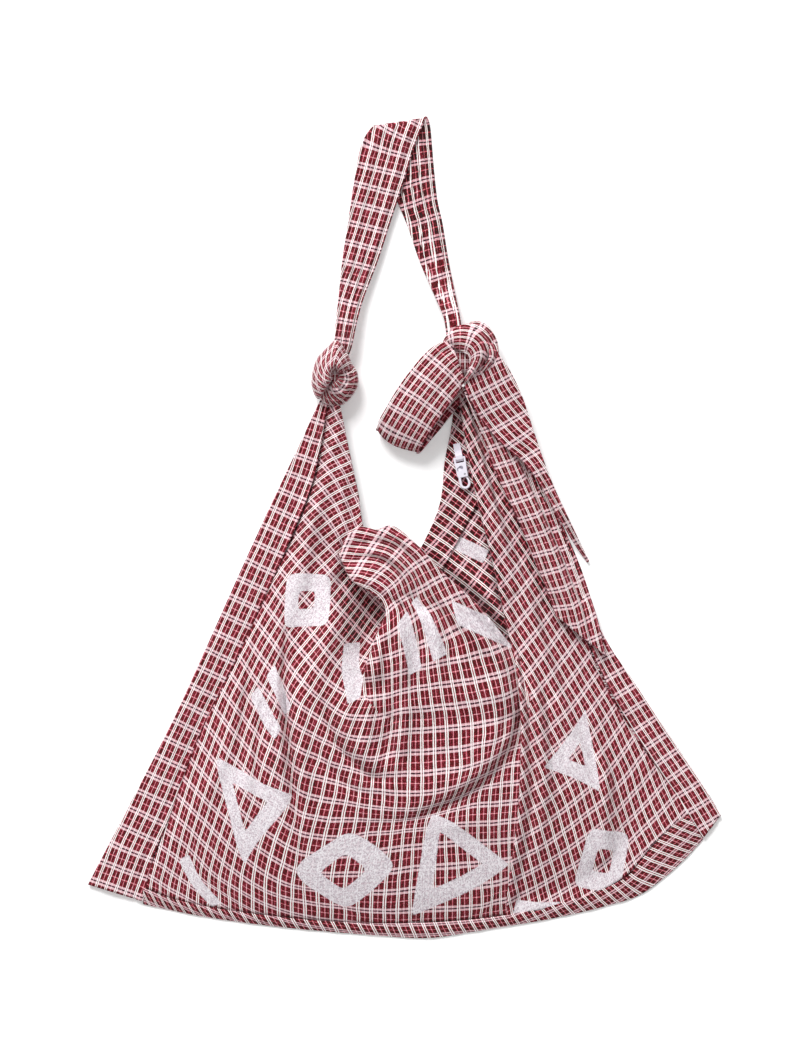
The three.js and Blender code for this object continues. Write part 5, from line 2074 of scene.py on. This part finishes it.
@dataclass(frozen=True)
class Front(Assembly):
    """The front of the bag: its base cloth and the layers that hang over it.

    Attributes:
        level: how soon the base falls from the mouth to its seams.
        columns: spans along the mouth's left side, its cowl and its right side.
        rows: points from the mouth to the seams.
        lip: how far beside the mouth's line the base starts.
        depth: what the heights of all folds are multiplied by.
        seam: height of the seams away from the knots.
        least: the least height of the base.
        sunk: how far the base lies lower beyond the right side's edge.
        shade: how far beside that edge it gets there.
    """

    level: float = 1.2
    columns: tuple[int, int, int] = (90, 170, 80)
    rows: int = 120
    lip: float = 3.0
    depth: float = 1.45
    seam: float = 3.3
    least: float = 2.6
    sunk: float = 6.0
    shade: float = 12.0

    BASE = Sheet("front_base_cloth", "bag", "front_panel", "draped", ("back_panel",), CLOTH)
    UPPER = Sheet("front_pouch_cloth", "bag", "front_panel", "draped", ("front_base_cloth",), CLOTH)
    SIDE = Sheet("front_right_cloth", "bag", "front_panel", "draped", ("front_base_cloth",), CLOTH)
    LAP_FOOT = (103.5, -391.0)
    POUCH_FOOT = (45.5, -188.5)

    @cached_property
    def threads(self) -> ThreadMap:
        """Maps the base cloth's threads.

        Returns:
            The map.
        """
        return ThreadMap(FRONT_THREADS, while_seen)

    @cached_property
    def right_threads(self) -> ThreadMap:
        """Maps the right side's threads.

        Returns:
            The map.
        """
        return ThreadMap(RIGHT_THREADS).matched(self.threads, *self.LAP_FOOT)

    @cached_property
    def base(self) -> ClothGrid:
        """Drapes the base cloth with its folds.

        Returns:
            The grid.
        """
        xyz, flat = self._draped(folded=True)
        return ClothGrid(xyz, self.threads.unfolded(flat, FRONT_FOLDS), PRINT_MARKS, self.threads)

    @cached_property
    def smooth_height(self) -> HeightField:
        """Measures the base without its folds.

        Returns:
            Its height over the plan.
        """
        return HeightField(self._draped(folded=False)[0])

    @cached_property
    def base_height(self) -> HeightField:
        """Measures the base.

        Returns:
            Its height over the plan.
        """
        return HeightField(self.base.xyz)

    def _draped(self, folded: bool) -> tuple[Array, Array]:
        """Drapes the base cloth between its mouth edge and its seams.

        Args:
            folded: whether its folds are on it.

        Returns:
            Its points, and the places on the plan that they would unroll to.
        """
        a, b, c = self.columns
        mouth = np.vstack([smooth(MOUTH_LEFT, a)[:-1], smooth(COWL_LINE, b)[:-1], smooth(MOUTH_RIGHT, c)])
        seam = np.vstack([smooth(LEFT_SEAM, a)[:-1], smooth(HEM_TOP, b)[:-1], smooth(RIGHT_SEAM[::-1], c)])
        way = seam - mouth[:, :2]
        way /= np.linalg.norm(way, axis=1, keepdims=True)
        plan, v = between(mouth[:, :2] + self.lip * way, seam, self.rows)
        x, y = plan[..., 0], plan[..., 1]
        low = self.seam + seam_rise(x[:, -1], y[:, -1])[:, None]
        # Over the bottom the bag bulges more than over its sides.
        corner = np.clip((np.arange(len(mouth)) - a) / b, 0, 1)
        bulge = ease(4 * np.minimum(corner, 1 - corner))[:, None]
        level = (1 - v ** (2 + 1.2 * bulge)) ** (self.level - 0.32 * bulge)
        z = low + (mouth[:, 2][:, None] - low) * level
        edge_x, edge_y = np.array(RIGHT_LAP).T
        beyond = ease((x - np.interp(y, edge_y, edge_x)) / self.shade)
        if folded:
            free = np.clip(np.sin(np.pi * np.minimum(1, 1.12 * v + 0.14)), 0, 1) ** 0.5 * (1 - beyond)
            z = z + self.depth * free * sum(fold.raise_at(x, y) for fold in FRONT_FOLDS)
            z += free * gathers(x, y, LEFT_KNOT, 26, 3.0, 120)
            z += free * 1.1 * wrinkle(x, y, 42, 1.0) + 0.35 * free * wrinkle(x, y, 13, 2.0)
        z = np.maximum(z - self.sunk * beyond, self.least)
        plan, z, flat = roll_edge(plan, z, 6, self.lip * 0.9, "bottom")
        return raised(plan, z), flat

    def _laid(
        self,
        layer: Layer,
        lift: Callable[[Array, Array, Array], Array],
        joined: Callable[[Array], Array] | None = None,
    ) -> tuple[Array, Array]:
        """Drapes a layer that lies on the base cloth.

        Args:
            layer: how it is cut and folded.
            lift: height over the base, from plan x, plan y and the share of the way across.
            joined: how much the layer shares the base's folds, from plan y; without it, the layer has
                only its own and stays over the base.

        Returns:
            Its points, and the places on the plan that they would unroll to.
        """
        bottom, top = (smooth(edge, layer.spans[0]) for edge in (layer.bottom, layer.top))
        left, right = (smooth(edge, layer.spans[1]) for edge in (layer.left, layer.right))
        plan = coons(bottom, top, left, right)
        x, y = plan[..., 0], plan[..., 1]
        over = lift(x, y, np.linspace(0, 1, layer.spans[0] + 1)[:, None] + 0 * x)
        z = self.smooth_height.at(x, y) + over
        z = z + self.depth * sum(fold.raise_at(x, y) for fold in layer.folds)
        z = z + 0.9 * wrinkle(x, y, 40, layer.seed) + 0.3 * wrinkle(x, y, 12, layer.seed + 5)
        base = self.base_height.at(x, y)
        if joined:
            share = joined(y)
            z = np.maximum(z, base + 3.2) * (1 - share) + (base + over) * share
        else:
            z = np.maximum(z, base + 1.5)
        flat = plan
        for side, radius in layer.rolls.items():
            flat = roll_edge(flat, z, 7, radius, side)[2]
            plan, z, _ = roll_edge(plan, z, 7, radius, side)
        return raised(plan, z), flat

    @staticmethod
    def _pouch_lift(_: Array, y: Array, u: Array) -> Array:
        """How far the pouch stands over the base: most of all above its lower border.

        Args:
            _: places across; not used.
            y: places up the plan.
            u: share of the way across.

        Returns:
            The height over the base.
        """
        free = ease((y + 165) / 30)
        hem = free + (1 - free) * ease(u / 0.25)
        return -2.5 + 9.0 * ease((y + 206) / 45) * hem

    @staticmethod
    def _pouch_joined(y: Array) -> Array:
        """How much the pouch shares the base's folds: wholly along its lower border.

        Args:
            y: places up the plan.

        Returns:
            The share.
        """
        return 1 - ease((y + 198) / 60)

    @staticmethod
    def _side_lift(_: Array, y: Array, u: Array) -> Array:
        """How far the right side stands over the base: a little, and more beside the tails.

        Args:
            _: places across; not used.
            y: places up the plan.
            u: share of the way across.

        Returns:
            The height over the base.
        """
        low = ease((y + 395) / 90)
        seam = ease((u - 0.93) / 0.07) * ease((-70 - y) / 60) * ease((y + 280) / 50)
        return 0.6 + 3.0 * low * (1 - 0.6 * u) + 4.5 * seam

    def pouch(self) -> ClothGrid:
        """Drapes the middle's upper half.

        Returns:
            The grid.
        """
        xyz, flat = self._laid(POUCH, self._pouch_lift, self._pouch_joined)
        threads = ThreadMap(POUCH_THREADS, middle_first).matched(self.threads, *self.POUCH_FOOT)
        # Along the lower border its check runs on from the base's.
        up = flat[..., 1]
        border = np.stack([flat[..., 0], np.full(up.shape, -188.0)], -1)
        drift = self.threads.unfolded(border, FRONT_FOLDS) - threads.unfolded(border, POUCH_FOLDS)
        near = (1 - ease((up + 188) / 130))[..., None]
        share = (1 - ease((up + 192) / 16))[..., None]
        own = threads.unfolded(flat, POUCH_FOLDS) + near * drift
        # Fine gathers draw the check together over the cowl.
        middle = threads.at(np.array([2.0]), np.array([-38.0]))
        own = middle + (own - middle) * (1 + 0.24 * ease((up + 118) / 70))[..., None]
        cloth = own * (1 - share) + self.threads.unfolded(flat, FRONT_FOLDS) * share
        return ClothGrid(xyz, cloth, POUCH_MARKS, threads)

    def right(self) -> ClothGrid:
        """Drapes the right side.

        Returns:
            The grid.
        """
        xyz, flat = self._laid(RIGHT_SIDE, self._side_lift)
        cloth = self.right_threads.at(flat[..., 0], flat[..., 1])
        return ClothGrid(xyz, cloth, RIGHT_MARKS, self.right_threads)

    def make(self) -> None:
        """Builds every layer and hides the CAD part that it stands for."""
        for sheet, grid in ((self.BASE, self.base), (self.UPPER, self.pouch()), (self.SIDE, self.right())):
            piece = sheet.make(grid, self.finishes.outside)
            # Painted shade: the hollow beside the cowl and the gaps along the right layer take the deeper
            # inside finish.
            if sheet.name in TURNED_WITH_PAINTED_SHADE:
                show_reverse_with_painted_shade(piece, self.finishes.inside, TURNED_WITH_PAINTED_SHADE[sheet.name])


@dataclass(frozen=True)
class Back(Assembly):
    """The back of the bag and the facing of its mouth.

    Attributes:
        columns: spans round the mouth.
        rows: points from the mouth to the outline.
        facing_columns: spans along the facing.
        facing_rows: points across the facing.
        faced: the share of the mouth that the facing runs along.
        facing_height: height of the facing.
        seam: height of its stitched edge over that.
    """

    columns: int = 260
    rows: int = 110
    facing_columns: int = 110
    facing_rows: int = 26
    faced: float = 0.46
    facing_height: float = 3.6
    seam: float = 1.2

    PANEL = Sheet("back_cloth", "bag", "back_panel", "laid", (), CLOTH)
    FACING = Sheet("back_facing_cloth", "bag", "back_facing", "laid", ("back_cloth",), CLOTH)

    @cached_property
    def threads(self) -> ThreadMap:
        """Maps the threads of both cloths.

        Returns:
            The map.
        """
        return ThreadMap(INSIDE_THREADS)

    @staticmethod
    def _lying(x: Array, y: Array) -> Array:
        """Height of the back cloth, which lies flat but for two ridges inside the mouth.

        Args:
            x: places across.
            y: places up the plan.

        Returns:
            The height.
        """
        flat = np.clip(1.3 + 0.4 * wrinkle(x, y, 60, 31), 0.95, 2.4)
        return flat + sum(fold.raise_at(x, y) for fold in INSIDE_FOLDS)

    def panel(self) -> ClothGrid:
        """Lays the back cloth out between the mouth and the outline.

        Returns:
            The grid.
        """
        foot = smooth([LEFT_OUTER[-1], LEFT_FOOT], 12)[1:]
        hem, right = smooth(HEM_BOTTOM, 120)[1:], smooth(RIGHT_OUTER[::-1], 80)[1:]
        outer = spread(np.vstack([smooth(LEFT_OUTER, 90), foot, hem, right]), self.columns)
        plan, _ = between(smooth(BACK_MOUTH[::-1], self.columns), outer, self.rows)
        x, y = plan[..., 0], plan[..., 1]
        return ClothGrid(raised(plan, self._lying(x, y)), self.threads.at(x, y), INSIDE_MARKS, self.threads)

    def facing(self) -> ClothGrid:
        """Lays the facing along the right part of the mouth.

        Returns:
            The grid.
        """
        mouth = smooth(BACK_MOUTH, 400)[: int(400 * self.faced) + 1]
        inner = mouth[np.rint(np.linspace(0, len(mouth) - 1, self.facing_columns + 1)).astype(int)]
        plan, v = between(inner, smooth(FACING_SEAM, self.facing_columns), self.facing_rows)
        x, y = plan[..., 0], plan[..., 1]
        z = self.facing_height + 0.5 * wrinkle(x, y, 30, 37) + self.seam * np.exp(-(((v - 1) / 0.06) ** 2))
        z = np.maximum(z, self._lying(x, y) + 2.2)
        plan, z, flat = roll_edge(plan, z, 5, 1.1, "bottom")
        return ClothGrid(raised(plan, z), self.threads.at(flat[..., 0], flat[..., 1]))

    def make(self) -> None:
        """Builds both cloths."""
        # Both cloths take the deeper inside finish: painted shade inside the bag.
        for sheet, grid in ((self.PANEL, self.panel()), (self.FACING, self.facing())):
            sheet.make(grid, self.finishes.inside)


@dataclass(frozen=True)
class SideBands(Assembly):
    """The straight strips down both sides.

    Attributes:
        columns: points across.
        spans: spans between two of the given points.
        crown: how far their middles rise.
        edge: radius of their rolled edges.
        height: height over the floor.
        slit: how far an edge lifts where it shows a dark gap.
    """

    columns: int = 30
    spans: int = 18
    crown: float = 0.8
    edge: float = 1.0
    height: float = 4.4
    slit: float = 5.0

    CREASES = ((0.86, 0.84, 2.2, 1.4), (0.45, 0.62, 0.9, 3.0), (0.1, 0.2, 0.8, 2.5))
    # Sheet, both edges, phase of the check and fullness of each
    SIDES = (
        (
            Sheet("left_band_cloth", "bag", "left_side_band", "laid", ("back_cloth",)),
            LEFT_OUTER,
            [*LEFT_SEAM, LEFT_FOOT],
            (2.0, 0.0),
            0.98,
        ),
        (
            Sheet("right_band_cloth", "bag", "right_side_band", "laid", ("back_cloth",)),
            [*RIGHT_SEAM, RIGHT_FOOT],
            RIGHT_OUTER,
            (7.0, 5.0),
            1.07,
        ),
    )

    def _resting(self, x: Array, y: Array, _: Array, across: Array) -> Array:
        """Height of both bands, with a slit where each meets the front.

        Args:
            x: places across the plan.
            y: places up the plan.
            _: share of the way along; not used.
            across: share of the way across.

        Returns:
            The height.
        """
        lower_left = ease((across - 0.8) / 0.2) * ease((x + 140) / 30) * (x < 0)
        beside_front = ease((0.3 - across) / 0.3) * ease((-90 - y) / 40) * ease((y + 270) / 50) * (x > 0)
        lying = self.height + seam_rise(x, y) + 0.6 * wrinkle(x, y, 26, 41)
        return lying + self.slit * (lower_left + beside_front)

    def make(self) -> None:
        """Builds both bands."""
        sizes = {"columns": self.columns, "spans": self.spans, "crown": self.crown, "edge": self.edge}
        for sheet, left, right, phase, fullness in self.SIDES:
            edges = [list(smooth(edge, 12)) for edge in (left, right)]
            band = Band(*edges, **sizes, fullness=fullness, creases=self.CREASES, phase=phase)
            sheet.make(band.grid(self._resting), self.finishes.band)


@dataclass(frozen=True)
class Hem(Assembly):
    """The turned-up hem along the bottom.

    Attributes:
        front: the front, whose cloth it carries on.
        band: its band.
        drawn: how much closer its check looks down the hem.
    """

    front: Front
    band: Band = Band(
        list(smooth(HEM_BOTTOM, 20)), list(smooth(HEM_TOP, 20)), columns=14, spans=14, edge=0.8
    )
    drawn: float = 1.9

    SHEET = Sheet("hem_cloth", "bag", "bottom_hem", "folded", ("back_cloth",), 1.8)

    @staticmethod
    def _resting(x: Array, y: Array, _: Array, across: Array) -> Array:
        """Height of the hem, which rises to the panel.

        Args:
            x: places across the plan.
            y: places up the plan.
            _: share of the way along; not used.
            across: share of the way across.

        Returns:
            The height.
        """
        return 2.3 + 2.7 * across + 0.9 * np.sin(np.pi * across) + 0.4 * wrinkle(x, y, 18, 43)

    def make(self) -> None:
        """Builds the hem."""
        grid = self.band.grid(self._resting)
        x, y = grid.xyz[:, -1, 0], grid.xyz[:, -1, 1]
        on_right = ease((x - RIGHT_LAP[0][0] + 8) / 16)[:, None]
        top = self.front.right_threads.at(x, y) * on_right + self.front.threads.at(x, y) * (1 - on_right)
        steps = np.linalg.norm(np.diff(grid.xyz[:, ::-1], axis=1), axis=2)
        down = np.concatenate([np.zeros((len(x), 1)), np.cumsum(steps, axis=1)], 1)[:, ::-1]
        # The hem turns under, so that its check looks drawn together.
        lean = 0.15 + 0.8 * (np.abs(x) / 300) ** 2
        slope = np.stack([-lean, np.full(len(x), -self.drawn)], 1)
        grid.st = top[:, None, :] + down[..., None] * slope[:, None, :]
        # The hem's deeper finish is painted shade where it turns away from the light.
        self.SHEET.make(grid, self.finishes.hem, own_size=True)


@dataclass(frozen=True)
class Strap(Assembly):
    """The shoulder strap, gathered into both knots and folded over at its top.

    Attributes:
        band: its band.
        reverse_top: height below which its right leg takes the deeper reverse finish, as painted shade.
    """

    band: Band = Band(
        STRAP_LEFT,
        STRAP_RIGHT,
        columns=84,
        spans=18,
        crown=1.8,
        edge=1.3,
        pleats=3.5,
        depth=1.5,
        creases=(
            (0.52, 0.5, 3.2, 2.2),
            (0.22, 0.3, 1.8, 2.0),
            (0.78, 0.72, 1.8, 1.8),
            (0.36, 0.14, 1.2, 1.4),
            (0.9, 0.88, 1.2, 1.2),
        ),
        selvage=1.0,
        phase=(3.2, 0.0),
    )
    reverse_top: float = 5.5

    SHEET = Sheet("strap_cloth", "strap", "shoulder_strap", "gathered")
    # Where the strap turns over, its right leg shows its reverse, deepened as painted shade.
    REVERSE_WITH_PAINTED_SHADE = [(-45, 235), (-45, 420), (60, 420), (60, 235)]

    def make(self) -> None:
        """Builds the strap."""
        piece = self.SHEET.make(self.band.grid(), self.finishes.band)
        show_reverse_with_painted_shade(piece, self.finishes.reverse, [self.REVERSE_WITH_PAINTED_SHADE], self.reverse_top)


@dataclass(frozen=True)
class Bow(Assembly):
    """The half bow's loop.

    Attributes:
        band: its band.
    """

    band: Band = Band(
        BOW_LEFT,
        BOW_RIGHT,
        columns=56,
        spans=16,
        fullness=1.32,
        crown=4.0,
        edge=1.8,
        creases=((0.16, 0.1, 3.0, 2.4), (0.72, 0.6, 1.6, 3.0), (0.4, 0.4, 1.2, 3.0), (0.9, 0.86, 1.2, 1.5)),
        bulge=(0.54, 0.08, -2.7, -4.8),
        phase=(4.0, 6.0),
    )

    SHEET = Sheet("bow_cloth", "bow", "bow_loop", "gathered")

    @staticmethod
    def _crowned(along: Array) -> Array:
        """How much of its crown the loop has: all of it on its upper leg.

        Args:
            along: share of the way along.

        Returns:
            The share of the crown.
        """
        return np.clip(np.cos(np.pi * along) + 0.2, 0, 1)

    def make(self) -> None:
        """Builds the loop."""
        self.SHEET.make(self.band.grid(crown_at=self._crowned), self.finishes.band)


@dataclass(frozen=True)
class Tails(Assembly):
    """The two tails of the tie.

    Attributes:
        front: the front, which they lie on.
        wide: the wide tail's band.
        pointed: the pointed tail's band.
    """

    front: Front
    wide: Band = Band(
        list(smooth(WIDE_LEFT, 9)),
        list(smooth(WIDE_RIGHT, 9)),
        columns=90,
        spans=18,
        fullness=1.32,
        crown=1.5,
        edge=1.2,
        pleats=4.5,
        depth=2.0,
        creases=((0.2, 0.1, 3.6, 2.4), (0.42, 0.4, 2.6, 2.4), (0.9, 0.72, 5.0, 4.0), (0.62, 0.6, 1.6, 1.6)),
        slant=0.12,
        phase=(1.0, 3.0),
    )
    pointed: Band = Band(
        list(smooth(POINTED_LEFT, 9)),
        list(smooth(POINTED_RIGHT, 9)),
        columns=56,
        spans=18,
        fullness=1.18,
        crown=2.4,
        edge=0.7,
        creases=((0.42, 0.3, 4.0, 2.2), (0.2, 0.12, 1.6, 2.0), (0.7, 0.8, 1.6, 3.0)),
        selvage=0.0,
        phase=(5.6, 0.0),
    )

    WIDE = Sheet("wide_tail_cloth", "bag", "tie_tail_wide", "laid", ("front_right_cloth",))
    POINTED = Sheet("pointed_tail_cloth", "tail", "tie_tail_pointed", "laid", ("wide_tail_cloth",))
    # Beside the pointed tail the wide one's edge turns over, and its strip there takes the deeper reverse
    # finish as painted shadow of the pointed tail.
    REVERSE_WITH_PAINTED_SHADE = [(128, 56), (136, 27.5), (146, 2.5), (156, -20.5), (166, -44), (186, -44), (150, 56)]

    def _above(self, x: Array, y: Array, along: Array) -> Array:
        """Height just over the front, which rises to the knot.

        Args:
            x: places across the plan.
            y: places up the plan.
            along: share of the way along.

        Returns:
            The height.
        """
        inside = np.maximum(self.front.smooth_height.at(x, y), 5)
        return inside + 7.5 + 7 * (1 - ease(along / 0.3)) + 0.8 * wrinkle(x, y, 30, 51)

    def _on_front(self, x: Array, y: Array, along: Array, across: Array) -> Array:
        """Height of the wide tail, which slopes down under the pointed one and leaves a dark gap.

        Args:
            x: places across the plan.
            y: places up the plan.
            along: share of the way along.
            across: share of the way across.

        Returns:
            The height.
        """
        reach = ease((along - 0.16) / 0.15) * (1 - ease((along - 0.72) / 0.2))
        slope = 14 * ease((across - 0.48) / 0.36) * reach
        return np.maximum(self._above(x, y, along) + 3.0 * (1 - across) - slope, 4.0)

    def _on_wide(self, x: Array, y: Array, along: Array, _: Array) -> Array:
        """Height of the pointed tail, whose end comes down to the floor.

        Args:
            x: places across the plan.
            y: places up the plan.
            along: share of the way along.
            _: share of the way across; not used.

        Returns:
            The height.
        """
        last = ease((along - 0.72) / 0.28)
        return (self._above(x, y, along) + 7.5) * (1 - last) + 5.5 * last

    def make(self) -> None:
        """Builds both tails."""
        piece = self.WIDE.make(self.wide.grid(self._on_front), self.finishes.band)
        show_reverse_with_painted_shade(piece, self.finishes.reverse, [self.REVERSE_WITH_PAINTED_SHADE])
        self.POINTED.make(self.pointed.grid(self._on_wide), self.finishes.band)


@dataclass(frozen=True)
class Core:
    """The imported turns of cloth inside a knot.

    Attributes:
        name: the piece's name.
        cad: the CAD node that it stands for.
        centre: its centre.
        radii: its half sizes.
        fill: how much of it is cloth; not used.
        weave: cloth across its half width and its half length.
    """

    name: str
    cad: str
    centre: Place3
    radii: Place3
    fill: float = 0.8
    weave: Place = (40.0, 50.0)

    def make(self, material: bpy.types.Material) -> None:
        """Builds the core.

        Args:
            material: its finish.
        """
        bm = bmesh.new()
        bmesh.ops.create_uvsphere(bm, u_segments=72, v_segments=48, radius=1.0)
        piece = new_piece(self.name, bm)
        ball = points_of(piece.data)
        move_points(piece.data, ball * self.radii + self.centre)
        lay_cloth(piece.data, ball[:, :2] * self.weave)
        piece.data.materials.append(material)
        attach(piece, "bag")
        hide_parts(self.cad)
        log.info("%s: a core of packed cloth", self.name)


@dataclass(frozen=True)
class Knots(Assembly):
    """Both knots, from the turns of cloth that wrap round them.

    Attributes:
        big: the left knot's turn.
        small: the bulge that it grips.
        turn: the right knot's turn.
        flange: the edge of cloth beside it.
        back_turn: the cloth behind it.
        cores: what the turns wrap round.
    """

    big: KnotLobe = KnotLobe(
        pit=(-69.0, 152.5),
        outline=BIG_OUTLINE,
        middle=17.0,
        crown=26.0,
        phase=(4.0, 2.0),
        weave=(1.05, 1.9),
        crumple=0.35,
    )
    small: KnotLobe = KnotLobe(
        pit=(-70.0, 151.5),
        outline=SMALL_OUTLINE,
        middle=15.0,
        crown=18.0,
        pleats=9.0,
        depth=0.9,
        phase=(8.0, 4.0),
        weave=(1.35, 1.0),
        crumple=1.3,
    )
    turn: Band = Band(
        TURN_LEFT,
        TURN_RIGHT,
        columns=50,
        spans=14,
        fullness=1.2,
        crown=7.0,
        edge=2.4,
        creases=((0.3, 0.3, 1.0, 3.0), (0.62, 0.5, 1.2, 2.5)),
        phase=(2.0, 4.0),
    )
    flange: Band = Band(
        FLANGE_LEFT, FLANGE_RIGHT, columns=24, spans=14, fullness=1.1, crown=1.5, edge=1.6, phase=(9.0, 0.0)
    )
    back_turn: Band = Band(
        BACK_TURN_LEFT,
        BACK_TURN_RIGHT,
        columns=24,
        spans=12,
        fullness=1.1,
        crown=1.5,
        edge=1.4,
        phase=(1.0, 9.0),
    )
    cores: tuple[Core, ...] = (
        Core(
            "left_knot_core", "left_knot", (LEFT_KNOT[0], LEFT_KNOT[1] - 2, 15.0), (17.0, 25.0, 13.5)
        ),
        Core(
            "right_knot_core", "right_knot", (RIGHT_KNOT[0] + 1, RIGHT_KNOT[1] + 2, 16.0), (19.0, 25.0, 14.5)
        ),
    )

    def make(self) -> None:
        """Builds the turns of both knots, and then their cores."""
        cloth = self.finishes.band
        for name, lobe in (("left_knot_turn", self.big), ("left_knot_bulge", self.small)):
            Sheet(name, "bag", "left_knot", "folded", thickness=1.0).make(lobe.grid(), cloth, own_size=True)
        bands = (("turn", self.turn), ("flange", self.flange), ("back_turn", self.back_turn))
        for name, band in bands:
            sheet = Sheet(f"right_knot_{name}", "bag", "right_knot", "folded", thickness=1.2)
            sheet.make(band.grid(), cloth)
        for core in self.cores:
            core.make(cloth)


@dataclass(frozen=True)
class KeyClip(Assembly):
    """The key clip, which keeps its solids from the model."""

    def make(self) -> None:
        """Gives each of its solids its finish."""
        looks = {
            "key_tab": self.finishes.ribbon,
            "key_hook": self.finishes.plastic,
            "key_gate": self.finishes.plastic,
            "gate_pin": self.finishes.steel,
        }
        for cad, material in looks.items():
            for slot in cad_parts[cad].material_slots:
                slot.material = material
            log.info("%s: %s", cad, material.name)


@dataclass(frozen=True)
class Stage:
    """The paper floor, the light and the camera. Sizes are in metres.

    Attributes:
        floor: half the paper's width.
        paper: how white the paper is.
        glow: how much whiter the camera alone sees it, as a cut-out photo shows it.
        sky: strength of the soft light from all round.
        beyond: how white the camera alone sees what lies past the paper.
        box_size: width of the soft box.
        box_power: its power in watts.
        box_at: where it hangs.
        view_width: what the camera sees across, at the bag's middle height.
        view_centre: where it looks.
        eye_height: how high it is.
        bag_middle: the bag's middle height.
        sensor: width of its sensor in millimetres.
        far: how far it sees.
    """

    floor: float = 3.0
    paper: float = 0.97
    glow: float = 0.24
    sky: float = 0.42
    beyond: float = 1.0
    box_size: float = 4.0
    box_power: float = 950.0
    box_at: Place3 = (-2.6, 6.6, 5.9)
    view_width: float = 0.8
    view_centre: Place = (-0.0045, -0.0005)
    eye_height: float = 4.0
    bag_middle: float = 0.02
    sensor: float = 36.0
    far: float = 20.0

    WHITE = (1.0, 1.0, 1.0, 1.0)

    def make(self) -> None:
        """Builds the stage."""
        self._floor()
        self._world()
        self._soft_box()
        self._camera()

    @staticmethod
    def _seen_as(tree: Tree, lighting: Socket, seen: Socket) -> Socket:
        """Gives the rays that look at the backdrop another look than those that light the object.

        Args:
            tree: the backdrop's tree.
            lighting: the look that lights the object.
            seen: the look for camera rays, and for those that metal mirrors or glass lets through.

        Returns:
            The mixed look.
        """
        ray = node(tree, "LightPath").outputs
        mirrored = maths(tree, "MAXIMUM", ray["Is Glossy Ray"], ray["Is Transmission Ray"])
        looking = maths(tree, "MAXIMUM", ray["Is Camera Ray"], mirrored)
        return node(tree, "MixShader", None, in_0=looking, in_1=lighting, in_2=seen).outputs[0]

    def _floor(self) -> None:
        """Lays the paper."""
        bm = bmesh.new()
        bmesh.ops.create_grid(bm, x_segments=1, y_segments=1, size=self.floor)
        floor = new_piece("floor", bm)
        material, tree = new_material("white_paper_floor")
        paper = node(tree, "BsdfDiffuse", None, Color=(self.paper, self.paper, self.paper, 1.0)).outputs[0]
        glow = node(tree, "Emission", None, Color=self.WHITE, Strength=self.glow).outputs[0]
        lifted = node(tree, "AddShader", None, in_0=paper, in_1=glow).outputs[0]
        node(tree, "OutputMaterial", None, Surface=self._seen_as(tree, paper, lifted))
        floor.data.materials.append(material)

    def _world(self) -> None:
        """Lights the object from all round."""
        world = bpy.data.worlds.new("studio")
        world.use_nodes = True
        sky = world.node_tree
        sky.nodes.clear()
        soft, white = (
            node(sky, "Background", None, Color=self.WHITE, Strength=strength).outputs[0]
            for strength in (self.sky, self.beyond)
        )
        node(sky, "OutputWorld", None, Surface=self._seen_as(sky, soft, white))
        bpy.context.scene.world = world

    def _soft_box(self) -> None:
        """Hangs the soft box."""
        lamp = bpy.data.lights.new("soft_box", "AREA")
        lamp.shape = "SQUARE"
        lamp.size = self.box_size
        lamp.energy = self.box_power
        holder = add_object("soft_box", lamp)
        holder.location = self.box_at
        holder.rotation_euler = (-holder.location).to_track_quat("-Z", "Y").to_euler()

    def _camera(self) -> None:
        """Hangs the camera straight above."""
        camera = bpy.data.cameras.new("camera")
        camera.sensor_fit = "HORIZONTAL"
        camera.sensor_width = self.sensor
        camera.lens = self.sensor * (self.eye_height - self.bag_middle) / self.view_width
        camera.clip_end = self.far
        eye = add_object("camera", camera)
        eye.location = (*self.view_centre, self.eye_height)
        bpy.context.scene.camera = eye
        bpy.context.scene.view_settings.view_transform = "Standard"


def main() -> None:
    """Builds the scene."""
    logging.basicConfig(level=logging.INFO, format="%(name)s: %(message)s")
    Stage().make()
    finishes = Finishes.made()
    front = Front(finishes)
    assemblies = (
        front,
        Back(finishes),
        SideBands(finishes),
        Hem(finishes, front),
        Strap(finishes),
        Bow(finishes),
        Tails(finishes, front),
        Knots(finishes),
        KeyClip(finishes),
    )
    for assembly in assemblies:
        assembly.make()


if __name__ == "__main__":
    main()
